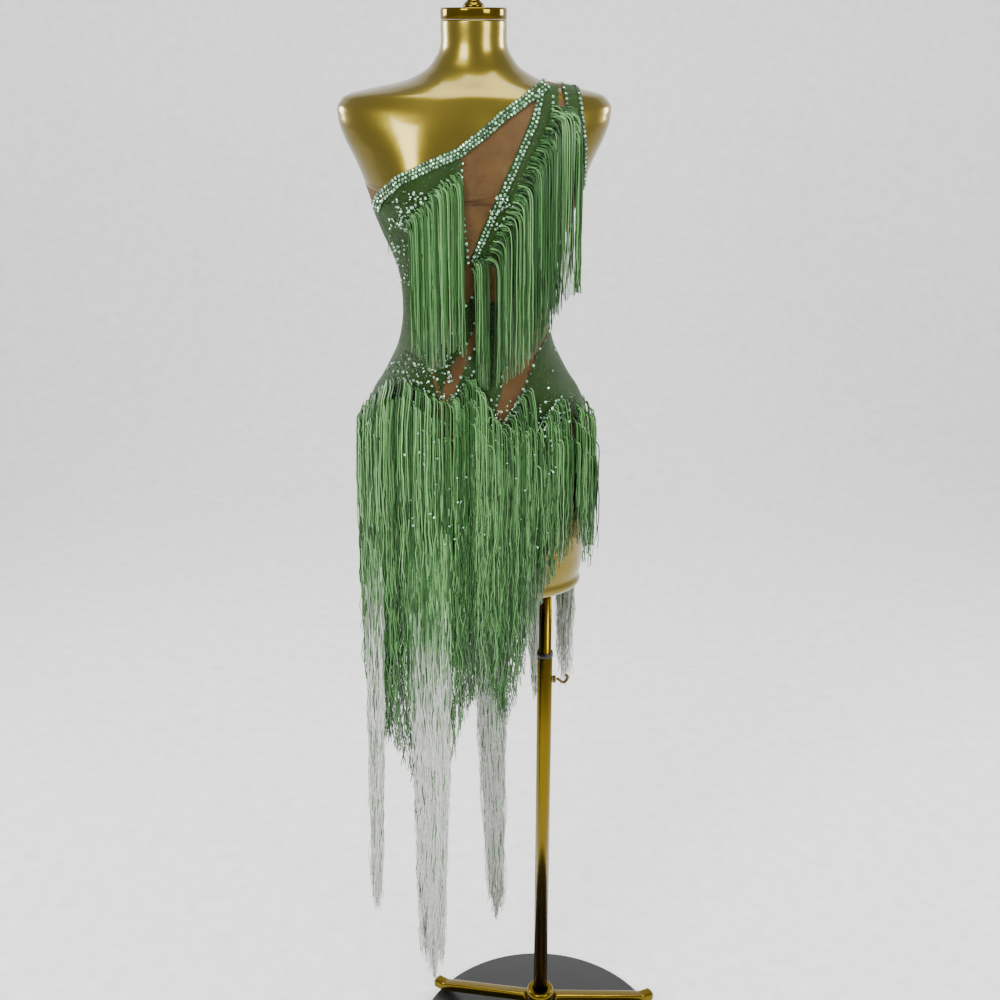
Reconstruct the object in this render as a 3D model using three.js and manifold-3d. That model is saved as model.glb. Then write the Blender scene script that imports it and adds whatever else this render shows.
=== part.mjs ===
// A one-shouldered latin dance dress with fringe, worn by a limbless dress form on its stand.
// Millimetres, +Z up, the dress's front towards -Y, the origin on the stand's axis at the floor.
import * as THREE from "three";
import { mergeVertices } from "three/addons/utils/BufferGeometryUtils.js";
import Module from "manifold-3d";

const wasm = await Module();
wasm.setup();

// ---- driving dimensions ----
const GAP = 0.3; // between pieces that touch
const TORSO_X = -107; // the form hangs off the pole, which enters one thigh end
const COLUMNS = 24; // round the form
const WALL_CLOTH = 1.0;
const WALL_TRIM = 1.8;
const WALL_FRINGE = 3.0;
const FORM_WALL = 6;
const HOLLOW = { bottom: 950, top: 1600 }; // inside the form

const DISC = { radius: 222.5, height: 12, sheet: 3.5, rim: 6, boss: 32, round: 3 };
const HUB = { foot: 34, edge: 5, sweep: 12, column: 18, collar: 24.3, shoulder: 84, top: 128, socket: 60 };
const HUB_CHAMFER = { shoulder: 4, side: 3, top: 6 };
const ARM = { width: 16, bevel: 3 };
// The arm's side view. Columns: distance out from the stand's axis, height over the disc.
const ARM_SIDE = [
  [27.6, 80],
  [193, 12],
  [203, 3],
  [221, 3],
  [235, 8],
  [237, 15],
  [231, 20],
  [27.6, 91],
];
const ARM_DIRECTIONS = [
  { name: "base_arm_left", degrees: 145 },
  { name: "base_arm_right", degrees: 25 },
  { name: "base_arm_front", degrees: 265 },
];
const TUBE = { outer: 12.1, bore: 10.3, inner: 10, innerBore: 8.4, top: 795, collar: 12.9, collarTop: 803 };
const INNER_TUBE = { bottom: 300, top: 985 };
const CLAMP = { height: 753, bossEnd: 18, bossRadius: 6, rod: 2.4 };
// The hand screw's rod. Columns: distance out from the stand's axis, height over its own axis.
const SCREW_PATH = [
  [18.6, 0],
  [20.5, 0],
  [23.5, -1.5],
  [27.5, -5],
  [32, -5.5],
  [36, -1],
  [36.5, 5],
  [33.5, 8],
];
const SOCKET_RING = { radius: 14, bottom: 905, top: 914 };
const SOCKET_BORE = { bottom: 850, top: 1000 }; // where the form takes the tube
const NECK_CAP = { radius: 44.6, bottom: 1746.3, top: 1758.8, crown: 1761, edge: 2 };
const FINIAL_TOP = 1812;
// The finial. Columns: radius, height over its foot.
const FINIAL_SIDE = [
  [15, 0],
  [13, 5],
  [8, 9],
  [7, 15],
  [12, 22],
  [14, 31],
  [11, 41],
  [4, 48],
];

// The form's level sections. Columns: height, half width, depth to the front, depth to the back,
// squareness (the power of the superellipse: 2 is an ellipse).
const SECTIONS = [
  [918, 128, 60, 66, 2.2],
  [925, 148, 77, 85, 2.2],
  [950, 158, 86, 94, 2.2],
  [990, 163, 89, 101, 2.2],
  [1040, 168, 92, 109, 2.2],
  [1090, 171, 93, 115, 2.2],
  [1130, 170, 93, 116, 2.2],
  [1165, 168, 93, 112, 2.2],
  [1200, 163, 92, 104, 2.2],
  [1222, 156, 91, 99, 2.2],
  [1240, 148, 89, 94, 2.2],
  [1258, 136, 87, 89, 2.2],
  [1278, 125, 85, 84, 2.2],
  [1304, 112.5, 82, 79, 2.2],
  [1340, 104, 79, 76, 2.2],
  [1380, 103, 79, 77, 2.2],
  [1415, 107, 80, 81, 2.25],
  [1445, 117, 82, 86, 2.35],
  [1472, 128, 84, 90, 2.45],
  [1502, 139, 86, 92, 2.5],
  [1534, 150, 87, 93, 2.5],
  [1566, 163, 88, 92, 2.5],
  [1597, 178, 88, 90, 2.45],
  [1622, 185.5, 85, 85, 2.35],
  [1642, 183, 79, 79, 2.2],
  [1653, 168, 74, 74, 2.1],
  [1660, 138, 69, 68, 2.0],
  [1668, 99, 64, 62, 2.0],
  [1681, 69, 56, 55, 2.0],
  [1700, 51, 49, 48, 2.0],
  [1746, 44, 44, 44, 2.0],
].map(([z, width, front, back, power]) => ({ z, width, front, back, power }));
const CUP = { x: 78, z: 1512, height: 32, across: 44, above: 58, below: 42 };
const WIDEST_HIP = 1090;
const THIGHS = { top: 1010, depth: 0.62, spread: 34 }; // the valley between the thigh ends

const CLOTH = { bottom: 1040, trimBottom: 1415, top: 1700 }; // rows of the form that carry cloth
// Where free rows of fringe begin, and the heights of their straight rows under the hip.
const HANG = {
  bust: { top: 1650, heights: [] },
  hips: { top: 1300, heights: [750, 560] },
  tails: { top: 1200, heights: [700, 400, 120] },
};

// Layers of cloth, as distances out from the form.
const BASE_LAYER = 0.4;
const PANEL_LAYER = BASE_LAYER + WALL_CLOTH + GAP;
const TRIM_LAYER = PANEL_LAYER + WALL_CLOTH + GAP;
const TAIL_LAYER = TRIM_LAYER + WALL_TRIM + GAP;
const FRINGE_LAYER = TAIL_LAYER + WALL_FRINGE + GAP;

// ---- materials ----
const finish = (color, roughness, metalness = 0) =>
  new THREE.MeshStandardMaterial({ color, roughness, metalness });
const GOLD = finish(0x9a8f3c, 0.28, 0.6);
const BRASS = finish(0x8a7a35, 0.2, 1);
const BLACK = finish(0x0f1111, 0.4);
const NUDE = finish(0x7d683d, 0.7);
const GREEN = finish(0x4c602b, 0.6);
const STONES = finish(0xb9d8c0, 0.15, 0.3);
const FRINGE_GREEN = finish(0x547c45, 0.45);
const FRINGE_PALE = finish(0xa8aca2, 0.5);

// ---- solids and booleans ----
function toSolid(geometry) {
  const bare = geometry.clone();
  bare.deleteAttribute("normal");
  bare.deleteAttribute("uv");
  const merged = mergeVertices(bare, 1e-3);
  const vertProperties = new Float32Array(merged.attributes.position.array);
  const triVerts = new Uint32Array(merged.index.array);
  return new wasm.Manifold(new wasm.Mesh({ numProp: 3, vertProperties, triVerts }));
}

function toGeometry(solid) {
  const mesh = solid.getMesh();
  const geometry = new THREE.BufferGeometry();
  geometry.setAttribute("position", new THREE.BufferAttribute(mesh.vertProperties, 3));
  geometry.setIndex(new THREE.BufferAttribute(mesh.triVerts, 1));
  geometry.computeVertexNormals();
  return geometry;
}

const dress = new THREE.Group();

function add(name, geometry, material) {
  const mesh = new THREE.Mesh(geometry, material);
  mesh.name = name;
  dress.add(mesh);
  return mesh;
}

// ---- the form's surface ----
function cupHeight(x, z) {
  const tall = z > CUP.z ? CUP.above : CUP.below;
  const across = (Math.abs(x) - CUP.x) / CUP.across;
  const up = (z - CUP.z) / tall;
  return CUP.height * Math.exp(-(across ** 2 + up ** 2) / 2);
}

function thighValley(x, z) {
  const low = Math.max(0, (THIGHS.top - z) / (THIGHS.top - SECTIONS[0].z));
  return 1 - THIGHS.depth * low ** 1.5 * Math.exp(-((x / THIGHS.spread) ** 2));
}

// A point at one section, turned from the front centre (0) through +X (quarter turn) to the back.
function formPoint(section, turn) {
  const s = Math.sin(turn);
  const c = Math.cos(turn);
  const x = section.width * Math.sign(s) * Math.abs(s) ** (2 / section.power);
  const reach = (c > 0 ? section.front : section.back) * Math.abs(c) ** (2 / section.power);
  const depth = reach * thighValley(x, section.z) + (c > 0 ? cupHeight(x, section.z) : 0);
  return new THREE.Vector3(TORSO_X + x, -Math.sign(c) * depth, section.z);
}

const grid = SECTIONS.map((section) =>
  Array.from({ length: COLUMNS }, (_, k) => formPoint(section, (2 * Math.PI * k) / COLUMNS)),
);

// Outward normals of the grid, from the neighbours along and across.
const normals = grid.map((row, r) =>
  row.map((_, k) => {
    const above = grid[Math.min(r + 1, grid.length - 1)][k];
    const below = grid[Math.max(r - 1, 0)][k];
    const along = new THREE.Vector3().subVectors(above, below);
    const next = row[(k + 1) % COLUMNS];
    const last = row[(k + COLUMNS - 1) % COLUMNS];
    return new THREE.Vector3().subVectors(next, last).cross(along).normalize();
  }),
);

const layerRows = (distance) =>
  grid.map((row, r) => row.map((p, k) => p.clone().addScaledVector(normals[r][k], distance)));

// Rows of a hanging wall: it keeps the depth of the deepest place above, as free strands do, and
// the width of the body there. Under the widest hip the last row repeats at the given heights.
function hangingRows(distance, top, heights) {
  const layer = layerRows(distance);
  const rows = [];
  for (let r = SECTIONS.length - 1; SECTIONS[r].z >= WIDEST_HIP; r -= 1) {
    if (SECTIONS[r].z > top) continue;
    const above = rows[0] ?? layer[r];
    const depth = (k) => Math.max(Math.abs(layer[r][k].y), Math.abs(above[k].y));
    rows.unshift(layer[r].map((p, k) => new THREE.Vector3(p.x, Math.sign(p.y) * depth(k), p.z)));
  }
  for (const z of heights) {
    rows.unshift(rows[0].map((p) => new THREE.Vector3(p.x, p.y, z)));
  }
  return rows;
}

function indexedGeometry(points, triangles) {
  const geometry = new THREE.BufferGeometry();
  const flat = points.flatMap((p) => [p.x, p.y, p.z]);
  geometry.setAttribute("position", new THREE.Float32BufferAttribute(flat, 3));
  geometry.setIndex(triangles);
  return geometry;
}

// A closed band of quads between two rings of the same count, the first ring lower or inner.
function ringBand(from, to, count) {
  const triangles = [];
  for (let k = 0; k < count; k += 1) {
    const next = (k + 1) % count;
    triangles.push(from + k, from + next, to + next, from + k, to + next, to + k);
  }
  return triangles;
}

// A wall between two stacks of rows, open at its top and bottom.
function wallSolid(inside, outside) {
  const count = inside[0].length;
  const last = (inside.length - 1) * count;
  const shift = inside.length * count;
  const triangles = [];
  for (let r = 0; r < inside.length - 1; r += 1) {
    triangles.push(...ringBand(shift + r * count, shift + (r + 1) * count, count));
    triangles.push(...ringBand(r * count, (r + 1) * count, count).reverse());
  }
  triangles.push(...ringBand(0, shift, count));
  triangles.push(...ringBand(shift + last, last, count));
  return toSolid(indexedGeometry([...inside.flat(), ...outside.flat()], triangles));
}

// A stack of rows closed at both ends by a point.
function filledSolid(rows) {
  const count = rows[0].length;
  const points = rows.flat();
  const triangles = [];
  for (let r = 0; r < rows.length - 1; r += 1) {
    triangles.push(...ringBand(r * count, (r + 1) * count, count));
  }
  const middle = (row) => row.reduce((m, p) => m.addScaledVector(p, 1 / count), new THREE.Vector3());
  const bottom = points.length;
  const last = (rows.length - 1) * count;
  points.push(middle(rows[0]), middle(rows[rows.length - 1]));
  for (let k = 0; k < count; k += 1) {
    const next = (k + 1) % count;
    triangles.push(bottom, next, k, bottom + 1, last + k, last + next);
  }
  return toSolid(indexedGeometry(points, triangles));
}

// A layer of cloth all round, from under the hem to the neck.
function bodyLayer(distance, wall, lowest) {
  const worn = (rows) =>
    rows.filter((_, r) => SECTIONS[r].z >= lowest && SECTIONS[r].z <= CLOTH.top);
  return wallSolid(worn(layerRows(distance)), worn(layerRows(distance + wall)));
}
const hangingLayer = (distance, { top, heights }) =>
  wallSolid(
    hangingRows(distance, top, heights),
    hangingRows(distance + WALL_FRINGE, top, heights),
  );

// ---- cutting pieces from the layers ----
const CUT_DEPTH = 400; // past the deepest layer

// An outline is seen from the front: x from the form's middle, and height. It cuts the layer's
// front half or its back half.
function cutter(outline, side) {
  const shape = new THREE.Shape(outline.map(([x, z]) => new THREE.Vector2(TORSO_X + x, z)));
  const depth = CUT_DEPTH;
  const prism = new THREE.ExtrudeGeometry(shape, { depth, bevelEnabled: false });
  prism.rotateX(Math.PI / 2);
  prism.translate(0, side === "front" ? -GAP / 2 : depth + GAP / 2, 0);
  return toSolid(prism);
}

function cut(name, layer, side, outline, material) {
  add(name, toGeometry(layer.intersect(cutter(outline, side))), material);
}

// A band of even width whose middle runs through the points.
function strip(points, width) {
  const half = width / 2;
  const offset = (sign) =>
    points.map(([x, z], i) => {
      const [ax, az] = points[Math.max(i - 1, 0)];
      const [bx, bz] = points[Math.min(i + 1, points.length - 1)];
      const run = Math.hypot(bx - ax, bz - az);
      return [x - (sign * half * (bz - az)) / run, z + (sign * half * (bx - ax)) / run];
    });
  return [...offset(1), ...offset(-1).reverse()];
}

// ---- the stand ----
const lathe = (profile, segments = 24) => {
  const geometry = new THREE.LatheGeometry(
    profile.map(([r, z]) => new THREE.Vector2(r, z)),
    segments,
  );
  return geometry.rotateX(Math.PI / 2);
};

function makeStand() {
  const under = DISC.height - DISC.sheet;
  const floor = DISC.height + GAP;
  add(
    "base_disc",
    lathe(
      [
        [0, 0],
        [DISC.boss, 0],
        [DISC.boss, under],
        [DISC.radius - DISC.rim, under],
        [DISC.radius - DISC.rim, 0],
        [DISC.radius, 0],
        [DISC.radius, DISC.height - DISC.round],
        [DISC.radius - DISC.round, DISC.height],
        [0, DISC.height],
      ],
      48,
    ),
    BLACK,
  );
  const socket = TUBE.outer + GAP;
  add(
    "base_hub",
    lathe([
      [0, floor],
      [HUB.foot, floor],
      [HUB.foot, floor + HUB.edge],
      [HUB.column, floor + HUB.sweep],
      [HUB.column, HUB.shoulder - HUB_CHAMFER.shoulder],
      [HUB.collar, HUB.shoulder],
      [HUB.collar, HUB.top - HUB_CHAMFER.top],
      [HUB.collar - HUB_CHAMFER.side, HUB.top],
      [socket, HUB.top],
      [socket, HUB.socket],
      [0, HUB.socket],
    ]),
    BRASS,
  );
  for (const { name, degrees } of ARM_DIRECTIONS) {
    add(name, armGeometry(floor).rotateZ(THREE.MathUtils.degToRad(degrees)), BRASS);
  }
  add("outer_tube", tubeGeometry(TUBE.bore, TUBE.outer, HUB.socket + GAP, TUBE.top), BRASS);
  add("tube_collar", tubeGeometry(TUBE.bore, TUBE.collar, TUBE.top + GAP, TUBE.collarTop), BLACK);
  add("inner_tube", tubeGeometry(TUBE.innerBore, TUBE.inner, INNER_TUBE.bottom, INNER_TUBE.top), BRASS);
  const boss = new THREE.CylinderGeometry(CLAMP.bossRadius, CLAMP.bossRadius, CLAMP.bossEnd, 16);
  boss.rotateZ(Math.PI / 2);
  boss.translate(CLAMP.bossEnd / 2, 0, CLAMP.height);
  const post = lathe([
    [0, HUB.top],
    [socket, HUB.top],
    [socket, TUBE.top],
    [0, TUBE.top],
  ]);
  add("clamp_boss", toGeometry(toSolid(boss).subtract(toSolid(post))), BRASS);
  add("clamp_screw", clampScrewGeometry(), BLACK);
}

function tubeGeometry(bore, radius, bottom, top) {
  return lathe(
    [
      [bore, bottom],
      [radius, bottom],
      [radius, top],
      [bore, top],
      [bore, bottom],
    ],
    24,
  );
}

// A sloping bar with a foot at its end, from its side view, across its width.
function armGeometry(floor) {
  const side = new THREE.Shape(ARM_SIDE.map(([out, z]) => new THREE.Vector2(out, floor + z)));
  const bar = new THREE.ExtrudeGeometry(side, {
    depth: ARM.width,
    bevelThickness: ARM.bevel,
    bevelSize: ARM.bevel,
    bevelSegments: 2,
  });
  bar.rotateX(Math.PI / 2);
  return bar.translate(0, ARM.width / 2, 0);
}

// The hand screw's rod, which dips and curls up at its end for the fingers.
function clampScrewGeometry() {
  const path = new THREE.CatmullRomCurve3(
    SCREW_PATH.map(([out, up]) => new THREE.Vector3(out, 0, CLAMP.height + up)),
  );
  const rod = new THREE.Shape();
  rod.absarc(0, 0, CLAMP.rod, 0, 2 * Math.PI, false);
  return new THREE.ExtrudeGeometry(rod, { extrudePath: path, steps: 12, curveSegments: 3 });
}

// ---- the form ----
function makeForm() {
  const outside = filledSolid(grid);
  const everyOther = (rows) => rows.map((row) => row.filter((_, k) => k % 2 === 0));
  const hollow = (_, r) => SECTIONS[r].z >= HOLLOW.bottom && SECTIONS[r].z <= HOLLOW.top;
  const inside = filledSolid(everyOther(layerRows(-FORM_WALL).filter(hollow)));
  const bore = lathe([
    [0, SOCKET_BORE.bottom],
    [TUBE.bore, SOCKET_BORE.bottom],
    [TUBE.bore, SOCKET_BORE.top],
    [0, SOCKET_BORE.top],
  ]);
  add("form_torso", toGeometry(outside.subtract(inside).subtract(toSolid(bore))), GOLD);
  const ring = tubeGeometry(TUBE.bore, SOCKET_RING.radius, SOCKET_RING.bottom, SOCKET_RING.top);
  add("socket_ring", ring, BLACK);
  const cap = lathe([
    [0, NECK_CAP.bottom],
    [NECK_CAP.radius, NECK_CAP.bottom],
    [NECK_CAP.radius, NECK_CAP.top],
    [NECK_CAP.radius - NECK_CAP.edge, NECK_CAP.crown],
    [0, NECK_CAP.crown],
  ]);
  add("neck_cap", cap.translate(TORSO_X, 0, 0), BRASS);
  const foot = NECK_CAP.crown + GAP;
  const side = FINIAL_SIDE.map(([radius, up]) => [radius, foot + up]);
  const finial = lathe([[0, foot], ...side, [0, FINIAL_TOP]], 16);
  add("neck_finial", finial.translate(TORSO_X, 0, 0), BRASS);
}

// ---- the dress ----
const WIDE = 230; // beyond the silhouette, where a piece runs to its side seam
const OVER = 1700; // above the shoulder, where a piece runs to its shoulder seam

const NECKLINE = [
  [96, OVER],
  [95, 1670],
  [74, 1658],
  [41, 1636],
  [12, 1612],
  [-17, 1590],
  [-56, 1575],
  [-96, 1556],
  [-119, 1537],
];
const ARMHOLE = [
  [148, 1494],
  [151, 1524],
  [150, 1584],
  [147, 1610],
  [143, 1647],
  [140, OVER],
];
const BACK_NECKLINE = [
  [96, OVER],
  [93, 1662],
  [70, 1640],
  [30, 1606],
  [-20, 1578],
  [-75, 1564],
];
const UNDERARM = [
  [-138, 1560],
  [-WIDE, 1566],
];
const shifted = (points, dx, dz) => points.map(([x, z]) => [x + dx, z + dz]);

function makeBase() {
  const layer = bodyLayer(BASE_LAYER, WALL_CLOTH, CLOTH.bottom);
  const hemFront = [
    [-WIDE, 1085],
    [-110, 1095],
    [-30, 1120],
    [40, 1142],
    [90, 1166],
    [140, 1186],
    [WIDE, 1196],
  ];
  cut("mesh_front", layer, "front", [...NECKLINE, ...UNDERARM, ...hemFront, [WIDE, 1494], ...ARMHOLE], NUDE);
  const hemBack = [
    [-WIDE, 1085],
    [-60, 1092],
    [60, 1120],
    [WIDE, 1196],
  ];
  const back = [...BACK_NECKLINE, ...UNDERARM, ...hemBack, [WIDE, 1494], ...ARMHOLE];
  cut("mesh_back", layer, "back", back, NUDE);
}

// The green stretch panels laid on the mesh, seen from the front.
const FRONT_PANELS = {
  panel_bust_side: [
    [-17, 1580],
    [-56, 1566],
    [-90, 1549],
    [-113, 1530],
    [-128, 1512],
    [-WIDE, 1500],
    [-WIDE, 1160],
    [-100, 1175],
    [-58, 1187],
    [-50, 1240],
    [-60, 1275],
    [-58, 1300],
    [-42, 1330],
    [-34, 1358],
    [-22, 1405],
    [-9, 1439],
    [-14, 1484],
    [-16, 1530],
  ],
  panel_shoulder_band: [
    [94, OVER],
    [94, 1662],
    [74, 1624],
    [55, 1581],
    [35, 1537],
    [8, 1477],
    [-6, 1442],
    [8, 1430],
    [28, 1448],
    [62, 1470],
    [84, 1512],
    [100, 1560],
    [108, 1612],
    [110, OVER],
  ],
  panel_strap: [
    [117, OVER],
    [119, 1650],
    [124, 1610],
    [128, 1575],
    [136, 1525],
    [142, 1496],
    [147, 1497],
    [149, 1524],
    [148, 1584],
    [145, 1610],
    [141, 1647],
    [138, OVER],
  ],
  panel_flame_left: [
    [6, 1405],
    [-2, 1391],
    [-12, 1378],
    [-27, 1347],
    [-36, 1330],
    [-50, 1300],
    [-56, 1284],
    [-48, 1254],
    [-32, 1294],
    [-21, 1310],
    [-9, 1328],
    [0, 1351],
    [6, 1375],
  ],
  panel_flame_middle: [
    [9, 1372],
    [4, 1330],
    [-7, 1305],
    [-15, 1288],
    [-31, 1250],
    [-36, 1200],
    [20, 1196],
    [35, 1250],
    [45, 1301],
    [63, 1337],
    [80, 1378],
    [60, 1390],
    [30, 1388],
  ],
  panel_hip_right: [
    [110, 1340],
    [98, 1321],
    [87, 1307],
    [74, 1274],
    [63, 1251],
    [39, 1206],
    [60, 1178],
    [110, 1200],
    [WIDE, 1215],
    [WIDE, 1335],
    [118, 1352],
  ],
};
const BACK_PANELS = {
  panel_back_band: [
    [94, OVER],
    [92, 1655],
    [70, 1628],
    [30, 1595],
    [-20, 1567],
    [-75, 1552],
    [-WIDE, 1548],
    [-WIDE, 1490],
    [-80, 1500],
    [-10, 1516],
    [50, 1552],
    [96, 1606],
    [110, 1650],
    [110, OVER],
  ],
  panel_back_strap: [
    [117, OVER],
    [120, 1650],
    [127, 1600],
    [134, 1540],
    [140, 1496],
    [147, 1497],
    [149, 1524],
    [148, 1584],
    [145, 1610],
    [141, 1647],
    [138, OVER],
  ],
  panel_back_side: [
    [-WIDE, 1486],
    [-90, 1470],
    [-72, 1400],
    [-48, 1330],
    [-20, 1262],
    [-10, 1200],
    [-20, 1160],
    [-WIDE, 1150],
  ],
  panel_back_flame: [
    [10, 1420],
    [22, 1360],
    [46, 1300],
    [70, 1252],
    [80, 1200],
    [40, 1180],
    [14, 1196],
    [0, 1290],
    [-14, 1350],
  ],
  panel_back_hip: [
    [WIDE, 1360],
    [104, 1350],
    [100, 1290],
    [92, 1240],
    [100, 1190],
    [WIDE, 1215],
  ],
};

function makePanels() {
  const layer = bodyLayer(PANEL_LAYER, WALL_CLOTH, CLOTH.bottom);
  for (const [name, outline] of Object.entries(FRONT_PANELS)) {
    cut(name, layer, "front", outline, GREEN);
  }
  for (const [name, outline] of Object.entries(BACK_PANELS)) {
    cut(name, layer, "back", outline, GREEN);
  }
}

// Stone-set trims on the edges.
const ARMHOLE_EDGE = [
  [145, 1550],
  [146, 1584],
  [143, 1612],
  [139, 1647],
  [136, OVER],
];
const STRAP_EDGE = [
  [119, OVER],
  [121, 1650],
  [126, 1610],
  [130, 1575],
  [138, 1525],
  [141, 1502],
];

const TRIM_WIDTH = { neckline: 13, band: 6, strap: 5 };
const BAND_TRIM_TOP = [86, 1634];

function makeTrims() {
  const layer = bodyLayer(TRIM_LAYER, WALL_TRIM, CLOTH.trimBottom);
  const neckline = shifted(NECKLINE.slice(0, -1), 2, -6);
  const band = [BAND_TRIM_TOP, ...shifted(FRONT_PANELS.panel_shoulder_band.slice(2, 7), 6, -3)];
  const trims = [
    { name: "trim_neckline", side: "front", edge: neckline, width: TRIM_WIDTH.neckline },
    {
      name: "trim_neckline_back",
      side: "back",
      edge: shifted(BACK_NECKLINE, 2, -6),
      width: TRIM_WIDTH.neckline,
    },
    { name: "trim_band", side: "front", edge: band, width: TRIM_WIDTH.band },
    { name: "trim_strap", side: "front", edge: STRAP_EDGE, width: TRIM_WIDTH.strap },
    { name: "trim_armhole", side: "front", edge: ARMHOLE_EDGE, width: TRIM_WIDTH.strap },
    { name: "trim_armhole_back", side: "back", edge: ARMHOLE_EDGE, width: TRIM_WIDTH.strap },
  ];
  for (const { name, side, edge, width } of trims) {
    cut(name, layer, side, strip(edge, width), STONES);
  }
}

// The fringe: plain walls of its reach. Outlines run along the sewn edge, then round the ends.
const BUST_FRINGE = {
  fringe_bust: [
    [-96, 1492],
    [-84, 1505],
    [-54, 1538],
    [-37, 1550],
    [-14, 1562],
    [-14, 1440],
    [-20, 1316],
    [-42, 1285],
    [-61, 1279],
    [-78, 1311],
    [-96, 1309],
  ],
  fringe_centre: [
    [-8, 1436],
    [15, 1449],
    [25, 1470],
    [25, 1250],
    [4, 1246],
    [-8, 1290],
  ],
  fringe_shoulder: [
    [26, 1472],
    [42, 1505],
    [68, 1563],
    [94, 1612],
    [104, 1642],
    [134, 1640],
    [144, 1590],
    [150, 1540],
    [WIDE, 1500],
    [WIDE, 1400],
    [122, 1372],
    [99, 1333],
    [63, 1279],
    [26, 1256],
  ],
};
const BACK_BUST_FRINGE = {
  fringe_back: [
    [-WIDE, 1496],
    [-80, 1506],
    [-10, 1522],
    [50, 1558],
    [96, 1612],
    [118, 1600],
    [112, 1360],
    [70, 1300],
    [10, 1330],
    [-50, 1340],
    [-100, 1400],
    [-WIDE, 1420],
  ],
};
const HIP_FRINGE = {
  fringe_hip_left: [
    [-WIDE, 1222],
    [-165, 1226],
    [-124, 1262],
    [-100, 1268],
    [-71, 1252],
    [-33, 1238],
    [-2, 1278],
    [-2, 790],
    [-14, 746],
    [-35, 675],
    [-43, 638],
    [-60, 574],
    [-91, 602],
    [-113, 657],
    [-156, 702],
    [-169, 781],
    [-176, 940],
    [-WIDE, 945],
  ],
  fringe_hip_middle: [
    [-1.5, 1240],
    [35, 1203],
    [69, 1256],
    [79, 1262],
    [79, 883],
    [65, 798],
    [53, 755],
    [43, 710],
    [24, 763],
    [-1.5, 781],
  ],
  fringe_hip_right: [
    [79.5, 1190],
    [99, 1220],
    [121, 1241],
    [144, 1235],
    [WIDE, 1205],
    [WIDE, 1060],
    [178, 1057],
    [174, 989],
    [144, 1005],
    [123, 981],
    [101, 940],
    [79.5, 890],
  ],
};
const BACK_HIP_FRINGE = {
  fringe_hip_back_left: [
    [-WIDE, 1222],
    [-110, 1240],
    [-40, 1216],
    [-2, 1200],
    [-2, 760],
    [-30, 690],
    [-80, 720],
    [-120, 660],
    [-160, 780],
    [-WIDE, 945],
  ],
  fringe_hip_back_middle: [
    [-1.5, 1206],
    [40, 1232],
    [79, 1262],
    [79, 840],
    [50, 740],
    [20, 790],
    [-1.5, 762],
  ],
  fringe_hip_back_right: [
    [79.5, 1210],
    [120, 1232],
    [WIDE, 1222],
    [WIDE, 1060],
    [178, 1000],
    [160, 900],
    [130, 930],
    [105, 860],
    [79.5, 842],
  ],
};
const TAIL_TOP = 1170; // the pale tails are sewn on under the hip fringe
const FRONT_TAILS = {
  tail_side: [
    [-WIDE, TAIL_TOP],
    [-145, TAIL_TOP],
    [-150, 700],
    [-160, 480],
    [-167, 330],
    [-WIDE, 318],
  ],
  tail_long: [
    [-100, TAIL_TOP],
    [-38, TAIL_TOP],
    [-35, 535],
    [-50, 528],
    [-54, 390],
    [-66, 222],
    [-86, 206],
    [-97, 398],
  ],
};
const BACK_TAILS = {
  tail_back_centre: [
    [-16, TAIL_TOP],
    [44, TAIL_TOP],
    [44, 400],
    [41, 127],
    [14, 180],
    [8, 390],
    [-16, 398],
  ],
  tail_back_pole: [
    [80, TAIL_TOP],
    [100, TAIL_TOP],
    [100, 610],
    [88, 640],
  ],
  tail_back_right: [
    [123, TAIL_TOP],
    [160, TAIL_TOP],
    [158, 780],
    [140, 655],
    [128, 680],
  ],
  tail_back_left: [
    [-120, TAIL_TOP],
    [-70, TAIL_TOP],
    [-74, 420],
    [-90, 260],
    [-104, 300],
    [-116, 520],
  ],
};

function makeFringe() {
  const bust = hangingLayer(TAIL_LAYER, HANG.bust);
  const hips = hangingLayer(FRINGE_LAYER, HANG.hips);
  const tails = hangingLayer(TAIL_LAYER, HANG.tails);
  const groups = [
    { layer: bust, side: "front", pieces: BUST_FRINGE, material: FRINGE_GREEN },
    { layer: bust, side: "back", pieces: BACK_BUST_FRINGE, material: FRINGE_GREEN },
    { layer: hips, side: "front", pieces: HIP_FRINGE, material: FRINGE_GREEN },
    { layer: hips, side: "back", pieces: BACK_HIP_FRINGE, material: FRINGE_GREEN },
    { layer: tails, side: "front", pieces: FRONT_TAILS, material: FRINGE_PALE },
    { layer: tails, side: "back", pieces: BACK_TAILS, material: FRINGE_PALE },
  ];
  for (const { layer, side, pieces, material } of groups) {
    for (const [name, outline] of Object.entries(pieces)) {
      cut(name, layer, side, outline, material);
    }
  }
}

makeStand();
makeForm();
makeBase();
makePanels();
makeTrims();
makeFringe();

export default dress;
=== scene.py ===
"""A latin dance dress with fringe on its dress form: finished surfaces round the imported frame."""
import math

import bpy
import numpy as np
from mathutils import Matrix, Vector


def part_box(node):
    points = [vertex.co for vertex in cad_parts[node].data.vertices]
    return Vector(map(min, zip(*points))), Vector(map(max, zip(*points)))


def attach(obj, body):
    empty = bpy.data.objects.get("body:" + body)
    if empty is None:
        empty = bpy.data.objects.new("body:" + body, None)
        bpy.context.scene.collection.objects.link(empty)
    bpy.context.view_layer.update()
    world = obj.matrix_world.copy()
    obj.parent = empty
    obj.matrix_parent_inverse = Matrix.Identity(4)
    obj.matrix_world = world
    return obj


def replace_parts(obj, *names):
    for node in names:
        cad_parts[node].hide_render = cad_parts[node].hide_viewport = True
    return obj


bl_info = {
    "name": "Latin dance dress",
    "version": (1, 0, 0),
    "blender": (4, 5, 0),
    "location": "View3D > Sidebar > Dress",
    "description": "Builds a one-shouldered fringe dress on a gold dress form",
    "category": "Add Mesh",
}

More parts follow.
